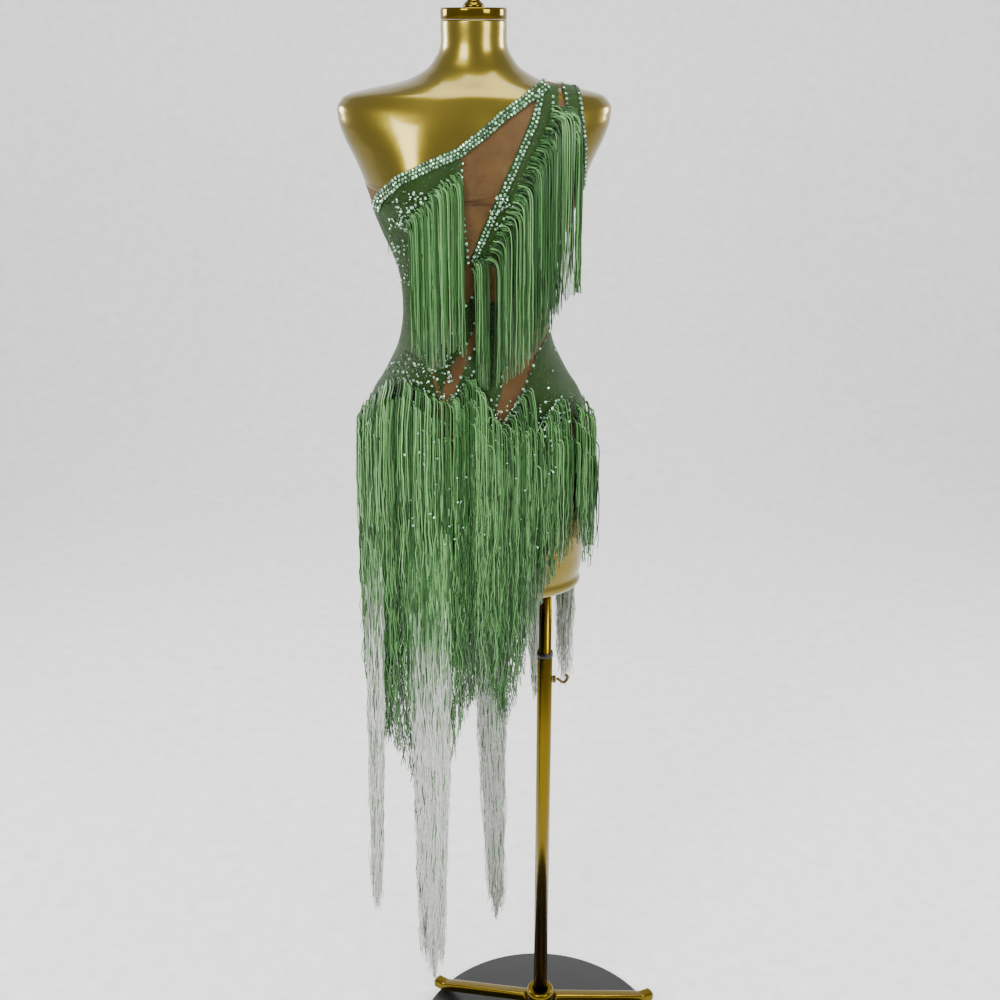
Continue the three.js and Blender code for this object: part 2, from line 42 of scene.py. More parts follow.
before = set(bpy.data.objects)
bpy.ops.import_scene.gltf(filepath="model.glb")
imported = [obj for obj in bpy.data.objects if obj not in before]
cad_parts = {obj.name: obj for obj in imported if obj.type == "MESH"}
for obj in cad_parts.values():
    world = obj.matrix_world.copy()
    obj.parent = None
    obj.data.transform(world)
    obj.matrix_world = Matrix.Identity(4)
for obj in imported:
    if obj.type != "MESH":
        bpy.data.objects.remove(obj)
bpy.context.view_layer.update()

MM = 0.001
SEED = 7
GREEN_KNIT = "green_stretch_glitter_knit"
cap_low, cap_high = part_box("neck_cap")
TORSO_X = 500 * (cap_low.x + cap_high.x)  # the form's middle, in mm, beside the pole

# The form's level sections, in mm. Columns: height, half width, depth to the front, depth to the
# back, squareness (the power of the superellipse: 2 is an ellipse).
SECTIONS = np.array([
    (918, 128, 60, 66, 2.2),
    (925, 148, 77, 85, 2.2),
    (950, 158, 86, 94, 2.2),
    (990, 163, 89, 101, 2.2),
    (1040, 168, 92, 109, 2.2),
    (1090, 171, 93, 115, 2.2),
    (1130, 170, 93, 116, 2.2),
    (1165, 168, 93, 112, 2.2),
    (1200, 163, 92, 104, 2.2),
    (1222, 156, 91, 99, 2.2),
    (1240, 148, 89, 94, 2.2),
    (1258, 136, 87, 89, 2.2),
    (1278, 125, 85, 84, 2.2),
    (1304, 112.5, 82, 79, 2.2),
    (1340, 104, 79, 76, 2.2),
    (1380, 103, 79, 77, 2.2),
    (1415, 107, 80, 81, 2.25),
    (1445, 117, 82, 86, 2.35),
    (1472, 128, 84, 90, 2.45),
    (1502, 139, 86, 92, 2.5),
    (1534, 150, 87, 93, 2.5),
    (1566, 163, 88, 92, 2.5),
    (1597, 178, 88, 90, 2.45),
    (1622, 185.5, 85, 85, 2.35),
    (1642, 183, 79, 79, 2.2),
    (1653, 168, 74, 74, 2.1),
    (1660, 138, 69, 68, 2.0),
    (1668, 99, 64, 62, 2.0),
    (1681, 69, 56, 55, 2.0),
    (1700, 51, 49, 48, 2.0),
    (1746, 44, 44, 44, 2.0),
])
CUP = {"x": 78, "z": 1512, "height": 32, "across": 44, "above": 58, "below": 42}
THIGHS = {"top": 1010, "depth": 0.62, "spread": 34}
SIDE = 230  # past the body's side, where a panel runs to its side seam


# ---- sizes and colours a user would change ----
def colour_setting(name, what, default):
    return bpy.props.StringProperty(name=name, description=what + ", sRGB hex", default=default)


def length_setting(name, what, default, least=0.0):
    return bpy.props.FloatProperty(name=name, description=what + ", mm", default=default, min=least)


class FormSettings(bpy.types.PropertyGroup):
    gold: colour_setting("Gold", "Lacquer colour", "75661a")
    plating: colour_setting("Plating", "Plated steel", "6a5818")


class ClothSettings(bpy.types.PropertyGroup):
    green: colour_setting("Green", "Stretch cloth", "1b3b06")
    nude: colour_setting("Nude", "Nude mesh", "5f4423")
    crease: length_setting("Crease", "Height of the gathered folds", 1.3)


class StoneSettings(bpy.types.PropertyGroup):
    radius: length_setting("Radius", "Stone radius", 2.3, 0.5)
    colour: colour_setting("Colour", "Foiled glass", "c2f0cf")


class FringeSettings(bpy.types.PropertyGroup):
    radius: length_setting("Radius", "Cord radius", 0.95, 0.2)
    fine: length_setting("Fine", "Pale strand radius", 0.85, 0.2)
    kink: length_setting("Kink", "Sway of a strand's end", 4.2)
    # Dark and light are painted shade and painted highlight, given strand by strand; middle is the cord's
    # usual colour and pale its real bleached end.
    dark: colour_setting("Dark", "Deep strand", "061a03")
    middle: colour_setting("Middle", "Usual strand", "29641e")
    light: colour_setting("Light", "Catching light", "8ac678")
    pale: colour_setting("Pale", "Bleached end", "f0f3ec")


class StageSettings(bpy.types.PropertyGroup):
    floor: colour_setting("Floor", "Floor colour", "f4f4f1")
    lens: length_setting("Lens", "Focal length", 45.29, 1.0)


# ---- materials ----
def linear(text):
    """sRGB hex to a linear colour: the standard curve, straight below 0.04045 and a power above."""
    channels = np.array([int(text[i:i + 2], 16) / 255 for i in (0, 2, 4)])
    return np.where(channels <= 0.04045, channels / 12.92, ((channels + 0.055) / 1.055) ** 2.4)


def add_node(tree, kind, inputs=None, **settings):
    """Adds a node, sets its own settings, and fills or links its inputs by name or number."""
    node = tree.nodes.new(kind)
    for key, value in settings.items():
        setattr(node, key, value)
    for key, value in (inputs or {}).items():
        if isinstance(value, bpy.types.NodeSocket):
            tree.links.new(value, node.inputs[key])
        else:
            node.inputs[key].default_value = value
    return node


def blank(name):
    """A new node material: its tree, its shader and the place that its patterns read."""
    material = bpy.data.materials.new(name)
    material.use_nodes = True
    tree = material.node_tree
    place = add_node(tree, "ShaderNodeTexCoord").outputs["Object"]
    return material, tree, tree.nodes["Principled BSDF"], place


def set_shader(shader, tint=None, **values):
    """Links the base colour, if there is one, and sets constants by name, with _ for a space."""
    if tint is not None:
        shader.id_data.links.new(tint, shader.inputs["Base Color"])
    for key, value in values.items():
        shader.inputs[key.replace("_", " ")].default_value = value


def mottled(tree, place, colour, low, high, scale, detail=4.0):
    """A colour that varies between two shares of itself with a noise of the given scale."""
    noise = add_node(tree, "ShaderNodeTexNoise", {"Vector": place, "Scale": scale, "Detail": detail})
    dark, light = [(*np.clip(colour * share, 0, 1), 1) for share in (low, high)]
    mix = add_node(tree, "ShaderNodeMix", {0: noise.outputs[0], 6: dark, 7: light}, data_type="RGBA")
    return mix.outputs[2], noise.outputs[0]


def bumped(tree, shader, height, distance, strength):
    bump = add_node(tree, "ShaderNodeBump", {"Height": height, "Distance": distance, "Strength": strength})
    tree.links.new(bump.outputs[0], shader.inputs["Normal"])


def gold_lacquer(colour):
    """Gold lacquered fibreglass, sprayed and polished: a soft metal glow under a clear gloss."""
    material, tree, shader, place = blank("gold_lacquered_fibreglass")
    tint, _ = mottled(tree, place, linear(colour), 0.9, 1.08, 7.0, 2.0)
    ripple = add_node(tree, "ShaderNodeTexNoise", {"Vector": place, "Scale": 26.0, "Detail": 2.0})
    bumped(tree, shader, ripple.outputs[0], 0.0009, 0.35)
    set_shader(shader, tint, Metallic=0.9, Roughness=0.27, Coat_Weight=0.5, Coat_Roughness=0.08)
    return material


def plated_steel(name, colour, roughness):
    """Brass-plated steel, drawn and buffed: clean reflections with a faint drawn grain."""
    material, tree, shader, place = blank(name)
    stretch = add_node(tree, "ShaderNodeMapping", {"Vector": place, "Scale": (260, 260, 6)})
    tint, grain = mottled(tree, stretch.outputs[0], linear(colour), 0.85, 1.1, 1.0)
    bumped(tree, shader, grain, 0.0002, 0.3)
    set_shader(shader, tint, Metallic=1.0, Roughness=roughness)
    return material


def coated(name, colour, roughness, scale):
    """A painted or moulded surface: even colour with a fine orange-peel skin."""
    material, tree, shader, place = blank(name)
    tint, peel = mottled(tree, place, linear(colour), 0.7, 1.4, scale)
    bumped(tree, shader, peel, 0.0003, 0.4)
    set_shader(shader, tint, Roughness=roughness)
    return material


def knitted(name, colour, alpha, glitter_glint):
    """Stretch knit in its own UV millimetres: fine wales, drawn at 2.4 mm so that they show."""
    material, tree, shader, place = blank(name)
    uv = add_node(tree, "ShaderNodeUVMap").outputs[0]
    tint, _ = mottled(tree, place, linear(colour), 0.6, 1.35, 42.0)
    wale = add_node(tree, "ShaderNodeTexWave", {"Vector": uv, "Scale": 0.42, "Distortion": 1.5})
    # Glitter with painted glints: the flakes are voronoi dots mixed into the base colour in a bright tint,
    # which paints their glints instead of reflecting the lights.
    dots = add_node(tree, "ShaderNodeTexVoronoi", {"Vector": uv, "Scale": 0.16})
    spark = add_node(tree, "ShaderNodeMath", {0: dots.outputs["Distance"], 1: 0.13}, operation="LESS_THAN")
    bright = (*np.clip(linear(colour) * 5 + 0.15, 0, 1), 1)
    share = add_node(tree, "ShaderNodeMath", {0: spark.outputs[0], 1: glitter_glint}, operation="MULTIPLY")
    mix = add_node(tree, "ShaderNodeMix", {0: share.outputs[0], 6: tint, 7: bright}, data_type="RGBA")
    bumped(tree, shader, wale.outputs[0], 0.0003, 0.5)
    set_shader(shader, mix.outputs[2], Roughness=0.55, Alpha=alpha, Specular_IOR_Level=0.25)
    return material


def toned(tree, colour):
    """A piece's tones, kept on its points, multiplied by a colour: painted reflection on the stones, painted
    shade and highlight with real bleaching on the cords.
    """
    tone = add_node(tree, "ShaderNodeAttribute", attribute_name="tone")
    return add_node(tree, "ShaderNodeMix", {0: 1.0, 6: tone.outputs["Color"], 7: colour},
                    data_type="RGBA", blend_type="MULTIPLY").outputs[2]


def foiled_glass(name, colour, roughness):
    """Foil-backed glass or sequin film: facets that mirror the lights, with a painted reflection tone stone
    by stone.
    """
    material, tree, shader, _ = blank(name)
    set_shader(shader, toned(tree, (*linear(colour), 1)), Metallic=0.55, Roughness=roughness,
               Coat_Weight=0.6, Coat_Roughness=0.03)
    return material


def rayon_cord(name, roughness):
    """Twisted rayon fringe cord: each cord's tone of painted shade and highlight, with its real bleached end,
    and a coarse slub so that it shows.
    """
    material, tree, shader, place = blank(name)
    slub, height = mottled(tree, place, np.ones(3), 0.62, 1.0, 190.0, 2.0)
    bumped(tree, shader, height, 0.0004, 0.4)
    set_shader(shader, toned(tree, slub), Roughness=roughness, Specular_IOR_Level=0.6)
    return material


# ---- meshes ----
def put(name, points, faces, material, body="upper", tone=None, uv=None, smooth=True):
    """Makes one piece from points in mm and a list of face arrays, each of one corner count."""
    mesh = bpy.data.meshes.new(name)
    corners = np.concatenate([f.ravel() for f in faces]).astype(np.int32)
    counts = np.concatenate([np.full(len(f), f.shape[1]) for f in faces])
    starts = np.concatenate([[0], np.cumsum(counts)[:-1]]).astype(np.int32)
    mesh.vertices.add(len(points))
    mesh.vertices.foreach_set("co", (points * MM).astype(np.float32).ravel())
    mesh.loops.add(len(corners))
    mesh.loops.foreach_set("vertex_index", corners)
    mesh.polygons.add(len(starts))
    mesh.polygons.foreach_set("loop_start", starts)
    mesh.update(calc_edges=True)
    mesh.polygons.foreach_set("use_smooth", np.full(len(starts), smooth))
    if tone is not None:
        layer = mesh.attributes.new("tone", "FLOAT_COLOR", "POINT")
        layer.data.foreach_set("color", np.column_stack([tone, np.ones(len(tone))]).ravel())
    if uv is not None:
        mesh.uv_layers.new(name="UVMap").uv.foreach_set("vector", uv[corners].ravel())
    mesh.materials.append(material)
    piece = bpy.data.objects.new(name, mesh)
    bpy.context.scene.collection.objects.link(piece)
    if body:
        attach(piece, body)
    return piece


def grid_quads(rows, columns, closed):
    """Quads of a grid, its rows one after another; closed joins the last column to the first."""
    r, c = np.meshgrid(np.arange(rows - 1), np.arange(columns if closed else columns - 1), indexing="ij")
    n = (c + 1) % columns
    return np.stack([r * columns + c, r * columns + n, (r + 1) * columns + n, (r + 1) * columns + c],
                    -1).reshape(-1, 4)


def fan(ring, centre, flip):
    """Triangles from a ring of vertex numbers to a centre one."""
    after = np.roll(ring, -1)
    pair = (after, ring) if flip else (ring, after)
    return np.column_stack([*pair, np.full(len(ring), centre)])


def lathe(name, profile, centre_x, material, body, sides=72):
    """A profile of (radius, height) turned round the vertical at centre_x, closed on the axis."""
    profile = np.array(profile, float)
    turn = np.linspace(0, 2 * np.pi, sides, endpoint=False)
    points = np.stack([centre_x + np.outer(profile[:, 0], np.cos(turn)),
                       np.outer(profile[:, 0], np.sin(turn)),
                       np.repeat(profile[:, 1:], sides, 1)], -1).reshape(-1, 3)
    rows = len(profile)
    if np.allclose(profile[0], profile[-1]):
        quads = grid_quads(rows - 1, sides, True)
        last = np.arange(sides) + (rows - 2) * sides
        first = np.arange(sides)
        seam = np.column_stack([last, np.roll(last, -1), np.roll(first, -1), first])
        faces, points = [np.concatenate([quads, seam])], points[:-sides]
    else:
        low, high = len(points), len(points) + 1
        ends = [[centre_x, 0, profile[0, 1]], [centre_x, 0, profile[-1, 1]]]
        points = np.concatenate([points, ends])
        faces = [grid_quads(rows, sides, True), fan(np.arange(sides), low, True),
                 fan(np.arange(sides) + (rows - 1) * sides, high, False)]
    return put(name, points, faces, material, body)


def rounded(profile, radius):
    """A profile whose inner corners are each replaced by a three-point bend of about the radius."""
    profile = np.array(profile, float)
    out = [profile[0]]
    for before, corner, after in zip(profile[:-2], profile[1:-1], profile[2:]):
        for other in (before, after):
            run = np.linalg.norm(other - corner)
            reach = min(radius, run * 0.4)
            out.append(corner + (other - corner) / run * reach)
        out.insert(-1, out[-2] * 0.25 + out[-1] * 0.25 + corner * 0.5)
    return np.array(out + [profile[-1]])


def sweep(name, path, across, upright, material, body, power=2.0, sides=20):
    """A superellipse section carried along a path of points, closed at both ends."""
    path = np.array(path, float)
    along = np.gradient(path, axis=0)
    along /= np.linalg.norm(along, axis=1, keepdims=True)
    side = np.cross([0, 0, 1], path[-1] - path[0])
    side = side / np.linalg.norm(side)
    up = np.cross(along, side)
    turn = np.linspace(0, 2 * np.pi, sides, endpoint=False)
    c = np.sign(np.cos(turn)) * np.abs(np.cos(turn)) ** (2 / power)
    s = np.sign(np.sin(turn)) * np.abs(np.sin(turn)) ** (2 / power)
    across, upright = np.broadcast_to(across, len(path)), np.broadcast_to(upright, len(path))
    points = path[:, None] + (across[:, None, None] * c[None, :, None] * side[None, None]
                              + upright[:, None, None] * s[None, :, None] * up[:, None])
    points = np.concatenate([points.reshape(-1, 3), path[[0, -1]]])
    count = len(path) * sides
    faces = [grid_quads(len(path), sides, True), fan(np.arange(sides), count, True),
             fan(np.arange(sides) + count - sides, count + 1, False)]
    return put(name, points, faces, material, body)


# ---- the form's surface ----
def section(z):
    """The section at any height: each column a cubic between rows, with the rows' mean slopes."""
    heights = SECTIONS[:, 0]
    slopes = np.gradient(SECTIONS[:, 1:], heights, axis=0)
    z = np.clip(z, heights[0], heights[-1])
    i = np.clip(np.searchsorted(heights, z) - 1, 0, len(heights) - 2)
    span = (heights[i + 1] - heights[i])[..., None]
    t = (z - heights[i])[..., None] / span
    low, high = SECTIONS[i, 1:], SECTIONS[i + 1, 1:]
    value = ((2 * t**3 - 3 * t**2 + 1) * low + (t**3 - 2 * t**2 + t) * span * slopes[i]
             + (3 * t**2 - 2 * t**3) * high + (t**3 - t**2) * span * slopes[i + 1])
    return np.moveaxis(value, -1, 0)


def cup(x, z):
    """A bell-shaped rise on each side of the chest, fuller above than below."""
    tall = np.where(z > CUP["z"], CUP["above"], CUP["below"])
    across = (np.abs(x) - CUP["x"]) / CUP["across"]
    return CUP["height"] * np.exp(-(across**2 + ((z - CUP["z"]) / tall) ** 2) / 2)


def body_point(turn, z):
    """The superellipse of the section, turned from the front through +X, plus cups and the valley
    between the thigh ends."""
    width, front, back, power = section(z)
    s, c = np.sin(turn), np.cos(turn)
    x = width * np.sign(s) * np.abs(s) ** (2 / power)
    low = np.clip((THIGHS["top"] - z) / (THIGHS["top"] - SECTIONS[0, 0]), 0, 1)
    valley = 1 - THIGHS["depth"] * low**1.5 * np.exp(-((x / THIGHS["spread"]) ** 2))
    depth = np.where(c > 0, front, back) * np.abs(c) ** (2 / power) * valley
    depth = depth + np.where(c > 0, cup(x, z) * np.clip(c * 4, 0, 1), 0)
    return np.stack([TORSO_X + x, -np.sign(c) * depth, z], -1)


def body_layer(turn, z, out):
    """Points a distance out from the form along its normals, with those normals."""
    step_turn, step_z = 0.03, 2.0
    across = body_point(turn + step_turn, z) - body_point(turn - step_turn, z)
    up = body_point(turn, z + step_z) - body_point(turn, z - step_z)
    normal = np.cross(across, up)
    normal /= np.linalg.norm(normal, axis=-1, keepdims=True) + 1e-9
    return body_point(turn, z) + normal * np.asarray(out)[..., None], normal


def turn_of(x, z, side):
    """The turn round the form at a distance x from its middle, on the front or the back."""
    width, _, _, power = section(z)
    share = np.clip(np.abs(x) / width, 0, 1) ** (power / 2)
    front = np.arcsin(share) * np.sign(x)
    return front if side == "front" else np.pi - front


def resampled(points, count):
    """A chain of (x, z) points at even steps along its length."""
    points = np.array(points, float)
    runs = np.concatenate([[0], np.cumsum(np.linalg.norm(np.diff(points, axis=0), axis=1))])
    at = np.linspace(0, runs[-1], count)
    return np.stack([np.interp(at, runs, points[:, k]) for k in (0, 1)], -1)


# ---- cloth ----
PANELS = [
    # name, side, distance out in mm, cloth, left edge and right edge from the top down, (x, z)
    ("mesh_front", "front", 0.6, "nude",
     [(95, 1668), (74, 1657), (41, 1635), (12, 1611), (-17, 1589), (-56, 1574), (-96, 1555),
      (-119, 1538), (-150, 1538), (-SIDE, 1537), (-SIDE, 1085)],
     [(140, 1668), (143, 1647), (147, 1610), (150, 1584), (151, 1524), (148, 1496), (SIDE, 1494),
      (SIDE, 1300), (SIDE, 1190)]),
    ("mesh_back", "back", 0.6, "nude",
     [(93, 1662), (70, 1640), (30, 1606), (-20, 1578), (-75, 1564), (-138, 1552), (-SIDE, 1537),
      (-SIDE, 1085)],
     [(140, 1662), (143, 1647), (147, 1610), (150, 1584), (151, 1524), (148, 1496), (SIDE, 1494),
      (SIDE, 1190)]),
    ("panel_bust_side", "front", 1.7, "green",
     [(-90, 1550), (-113, 1530), (-128, 1512), (-SIDE, 1500), (-SIDE, 1340), (-SIDE, 1160)],
     [(-17, 1583), (-16, 1530), (-14, 1484), (-9, 1439), (-22, 1405), (-34, 1358), (-42, 1330),
      (-58, 1300), (-60, 1275), (-50, 1240), (-58, 1180)]),
    ("panel_shoulder_band", "front", 1.7, "green",
     [(92, 1664), (74, 1624), (55, 1581), (35, 1537), (8, 1477), (-6, 1442)],
     [(112, 1664), (109, 1612), (100, 1560), (84, 1512), (58, 1468), (8, 1431)]),
    ("panel_strap", "front", 1.7, "green",
     [(117, 1666), (124, 1610), (128, 1575), (136, 1525), (141, 1497)],
     [(139, 1666), (145, 1610), (148, 1584), (149, 1524), (148, 1497)]),
    ("panel_flame_left", "front", 1.7, "green",
     [(6, 1405), (-12, 1378), (-27, 1347), (-36, 1330), (-50, 1300), (-56, 1284)],
     [(6, 1375), (0, 1351), (-9, 1328), (-21, 1310), (-32, 1294), (-48, 1254)]),
    ("panel_flame_middle", "front", 1.7, "green",
     [(14, 1384), (4, 1330), (-7, 1305), (-15, 1288), (-31, 1250), (-36, 1200)],
     [(80, 1380), (63, 1337), (45, 1301), (35, 1250), (20, 1198)]),
    ("panel_hip_right", "front", 1.7, "green",
     [(110, 1342), (98, 1321), (87, 1307), (74, 1274), (63, 1251), (39, 1206), (52, 1182)],
     [(SIDE, 1338), (SIDE, 1270), (SIDE, 1215)]),
    ("panel_back_band", "back", 1.7, "green",
     [(92, 1658), (70, 1630), (30, 1596), (-20, 1568), (-75, 1553), (-SIDE, 1548)],
     [(112, 1658), (96, 1606), (50, 1552), (-10, 1516), (-80, 1500), (-SIDE, 1490)]),
    ("panel_back_strap", "back", 1.7, "green",
     [(117, 1662), (120, 1650), (127, 1600), (134, 1540), (140, 1497)],
     [(139, 1662), (145, 1610), (148, 1584), (149, 1524), (147, 1497)]),
    ("panel_back_side", "back", 1.7, "green",
     [(-SIDE, 1486), (-SIDE, 1320), (-SIDE, 1150)],
     [(-90, 1470), (-72, 1400), (-48, 1330), (-20, 1262), (-10, 1200), (-20, 1160)]),
    ("panel_back_flame", "back", 1.7, "green",
     [(6, 1420), (-14, 1350), (0, 1290), (14, 1200), (24, 1186)],
     [(12, 1420), (22, 1360), (46, 1300), (70, 1252), (80, 1200)]),
    ("panel_back_hip", "back", 1.7, "green",
     [(104, 1350), (100, 1290), (92, 1240), (100, 1192)],
     [(SIDE, 1360), (SIDE, 1290), (SIDE, 1215)]),
]
ROWS, COLUMNS = 72, 40
CREASED = ("panel_bust_side", "panel_back_side")  # gathered in full; the other green panels less
LESS_CREASED = 0.3
# The folds: how many ridges, their slant down and across, how far they wander and how often across
# and down, and how fast they fade on the way down.
FOLDS = {"ridges": 34, "down": 0.9, "across": 0.55, "wander": 3, "bends": 9, "dips": 4, "fade": 2.2}


def ruled(left, right, side, out, crease):
    """Straight lines of turn and height between two edges, laid on the form, with gathered folds:
    slanting sine ridges that are strongest at the top and fade on the way down."""
    edges = [resampled(edge, ROWS) for edge in (left, right)]
    turns = [turn_of(edge[:, 0], edge[:, 1], side) for edge in edges]
    t = np.linspace(0, 1, COLUMNS)[None]
    turn = turns[0][:, None] * (1 - t) + turns[1][:, None] * t
    z = edges[0][:, 1:] * (1 - t) + edges[1][:, 1:] * t
    fall = np.linspace(0, 1, ROWS)[:, None]
    wander = FOLDS["wander"] * np.sin(FOLDS["bends"] * t + FOLDS["dips"] * fall)
    slant = FOLDS["ridges"] * (fall * FOLDS["down"] - t * FOLDS["across"])
    fold = np.clip(np.sin(slant + wander), 0, 1)
    points, _ = body_layer(turn, z, out + crease * fold * np.exp(-FOLDS["fade"] * fall))
    return points


def cloth_panel(name, side, out, left, right, material, slot, crease):
    """One cut panel. Its flat size is its longest row by its longest column, and its own area,
    because stretch cloth is cut close to the shape it is worn at."""
    points = ruled(left, right, side, out, crease)
    across = np.linalg.norm(np.diff(points, axis=1), axis=2)
    down = np.linalg.norm(np.diff(points, axis=0), axis=2)
    uv = np.stack([np.pad(np.cumsum(across, 1), ((0, 0), (1, 0))),
                   np.pad(np.cumsum(down, 0), ((1, 0), (0, 0)))], -1).reshape(-1, 2)
    quads = grid_quads(ROWS, COLUMNS, False)
    quads = quads[:, ::-1] if side == "front" else quads
    piece = put("cloth_" + name, points.reshape(-1, 3), [quads], material, uv=uv)
    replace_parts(piece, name)
    width, length = across.sum(1).max() * MM, down.sum(0).max() * MM
    area = sum(face.area for face in piece.data.polygons)
    return piece, (width, max(length, area / width)), area


# ---- stones ----
STONE_RINGS = [(1.0, 0.0), (0.78, 0.55), (0.42, 1.0)]  # girdle, crown, table: radius and height
STONE_SIDES = 6
STONE_HEIGHT, SEQUIN_HEIGHT = 0.62, 0.25  # shares of the radius
OFF_LINE = 0.35  # how far a hand-set stone strays from its line, in mm


def tilted(normals, amount, rng):
    """Normals knocked off true by a random share, as hand-set stones are."""
    moved = normals + rng.normal(0, amount, normals.shape)
    return moved / np.linalg.norm(moved, axis=1, keepdims=True)


def painted_glint_tones(count, rng):
    """Painted reflection: tones from deep to full, as foil-backed stones look dark or bright by how they lie.
    """
    value = np.clip(rng.beta(1.6, 1.1, (count, 1)) * 1.05, 0.12, 1)
    return value * np.array([0.9, 1.0, 0.92])


def stones(name, places, tilt, radius, shares, material, rng, height=STONE_HEIGHT):
    """Domes of three rings, each turned to its own normal. Places holds centres and normals, and
    shares the least and greatest share of the radius."""
    centres, normals = places
    normals = tilted(normals, tilt, rng)
    radii = radius * rng.uniform(*shares, len(centres))
    # Painted reflection: each stone gets a dark or bright tone in its base colour, not from the lights.
    tones = painted_glint_tones(len(centres), rng)
    turn = np.linspace(0, 2 * np.pi, STONE_SIDES, endpoint=False)
    local = [[r * math.cos(a), r * math.sin(a), h * height] for r, h in STONE_RINGS for a in turn]
    local = np.array(local + [[0, 0, 0], [0, 0, height]])
    side = np.cross(normals, [0.3, 0.2, 1.0])
    side /= np.linalg.norm(side, axis=1, keepdims=True)
    basis = np.stack([side, np.cross(normals, side), normals], 1)
    points = centres[:, None] + np.einsum("kl,nlc->nkc", local, basis) * radii[:, None, None]
    quads = grid_quads(len(STONE_RINGS), STONE_SIDES, True)
    ring, top = np.arange(STONE_SIDES), len(local) - 1
    table = ring + (len(STONE_RINGS) - 1) * STONE_SIDES
    tris = np.concatenate([fan(ring, top - 1, True), fan(table, top, False)])
    shift = (np.arange(len(centres)) * len(local))[:, None, None]
    faces = [(quads[None] + shift).reshape(-1, 4), (tris[None] + shift).reshape(-1, 3)]
    tone = np.repeat(tones, len(local), 0)
    return put(name, points.reshape(-1, 3), faces, material, tone=tone,
               smooth=False)


def along_edge(points, side, spacing, rows, pitch, out, rng):
    """Places for stones in staggered rows along an edge, with the form's normals there."""
    points = np.array(points, float)
    count = int(np.linalg.norm(np.diff(points, axis=0), axis=1).sum() / spacing)
    places = []
    for row in range(rows):
        chain = resampled(points, count)
        run = np.gradient(chain, axis=0)
        run /= np.linalg.norm(run, axis=1, keepdims=True)
        offset = (row - (rows - 1) / 2) * pitch
        chain = chain + np.column_stack([-run[:, 1], run[:, 0]]) * offset + run * spacing * 0.5 * (row % 2)
        places.append(chain + rng.normal(0, OFF_LINE, chain.shape))
    chain = np.concatenate(places)
    return body_layer(turn_of(chain[:, 0], chain[:, 1], side), chain[:, 1], out)


def scattered(box, side, count, out, rng):
    """Places thrown at random inside a box of (left, right, bottom, top)."""
    x = rng.uniform(box[0], box[1], count)
    z = rng.uniform(box[2], box[3], count)
    return body_layer(turn_of(x, z, side), z, out)


def joined(found):
    """Several sets of places as one."""
    return [np.concatenate(part) for part in zip(*found)]


def trim_tape(name, side, edge, width, material):
    """The green tape under the stones: a strip of even width along the edge, a little crowned."""
    rows, columns = TAPE["rows"], TAPE["columns"]
    chain = resampled(edge, rows)
    run = np.gradient(chain, axis=0)
    run /= np.linalg.norm(run, axis=1, keepdims=True)
    share = np.linspace(-0.5, 0.5, columns)[None, :, None] * width
    spread = chain[:, None] + np.column_stack([-run[:, 1], run[:, 0]])[:, None] * share
    crown = TAPE["out"] + TAPE["crown"] * np.cos(np.linspace(-TAPE["curl"], TAPE["curl"], columns))[None]
    points, _ = body_layer(turn_of(spread[..., 0], spread[..., 1], side), spread[..., 1], crown)
    quads = grid_quads(rows, columns, False)
    quads = quads if side == "back" else quads[:, ::-1]
    uv = np.stack(np.meshgrid(np.arange(columns) * 2.0, np.arange(rows) * 3.0), -1).reshape(-1, 2)
    return put("tape_" + name, points.reshape(-1, 3), [quads], material, uv=uv)


# The tape's distance out and crown in mm, the turn that the crown spans, and its mesh.
TAPE = {"out": 2.9, "crown": 0.5, "curl": 1.4, "rows": 90, "columns": 7}
TRIM_OUT, EDGE_OUT = 3.4, 3.0  # distance of the stones from the form, in mm


NECKLINE = [(96, 1664), (74, 1651), (41, 1629), (12, 1605), (-17, 1584), (-56, 1568), (-96, 1549),
            (-124, 1524), (-131, 1508)]
NECKLINE_BACK = [(95, 1658), (72, 1634), (32, 1600), (-18, 1572), (-73, 1558)]
TRIMS = [
    # node, side, edge, stone spacing in mm, rows, row pitch in mm, tape width in mm
    ("trim_neckline", "front", NECKLINE, 4.7, 3, 4.6, 14),
    ("trim_neckline_back", "back", NECKLINE_BACK, 4.7, 3, 4.6, 14),
    ("trim_band", "front", [(88, 1655), (80, 1621), (61, 1578), (41, 1534), (14, 1474), (0, 1441)],
     5.2, 2, 5.0, 9),
    ("trim_strap", "front", [(119, 1664), (121, 1650), (126, 1610), (130, 1575), (138, 1525), (141, 1500)],
     5.4, 1, 5.0, 5),
    ("trim_armhole", "front", [(137, 1664), (140, 1646), (144, 1612), (147, 1584), (148, 1530), (147, 1502)],
     5.4, 1, 5.0, 5),
    ("trim_armhole_back", "back", [(137, 1660), (140, 1646), (144, 1612), (147, 1584), (148, 1510)],
     5.4, 1, 5.0, 5),
]
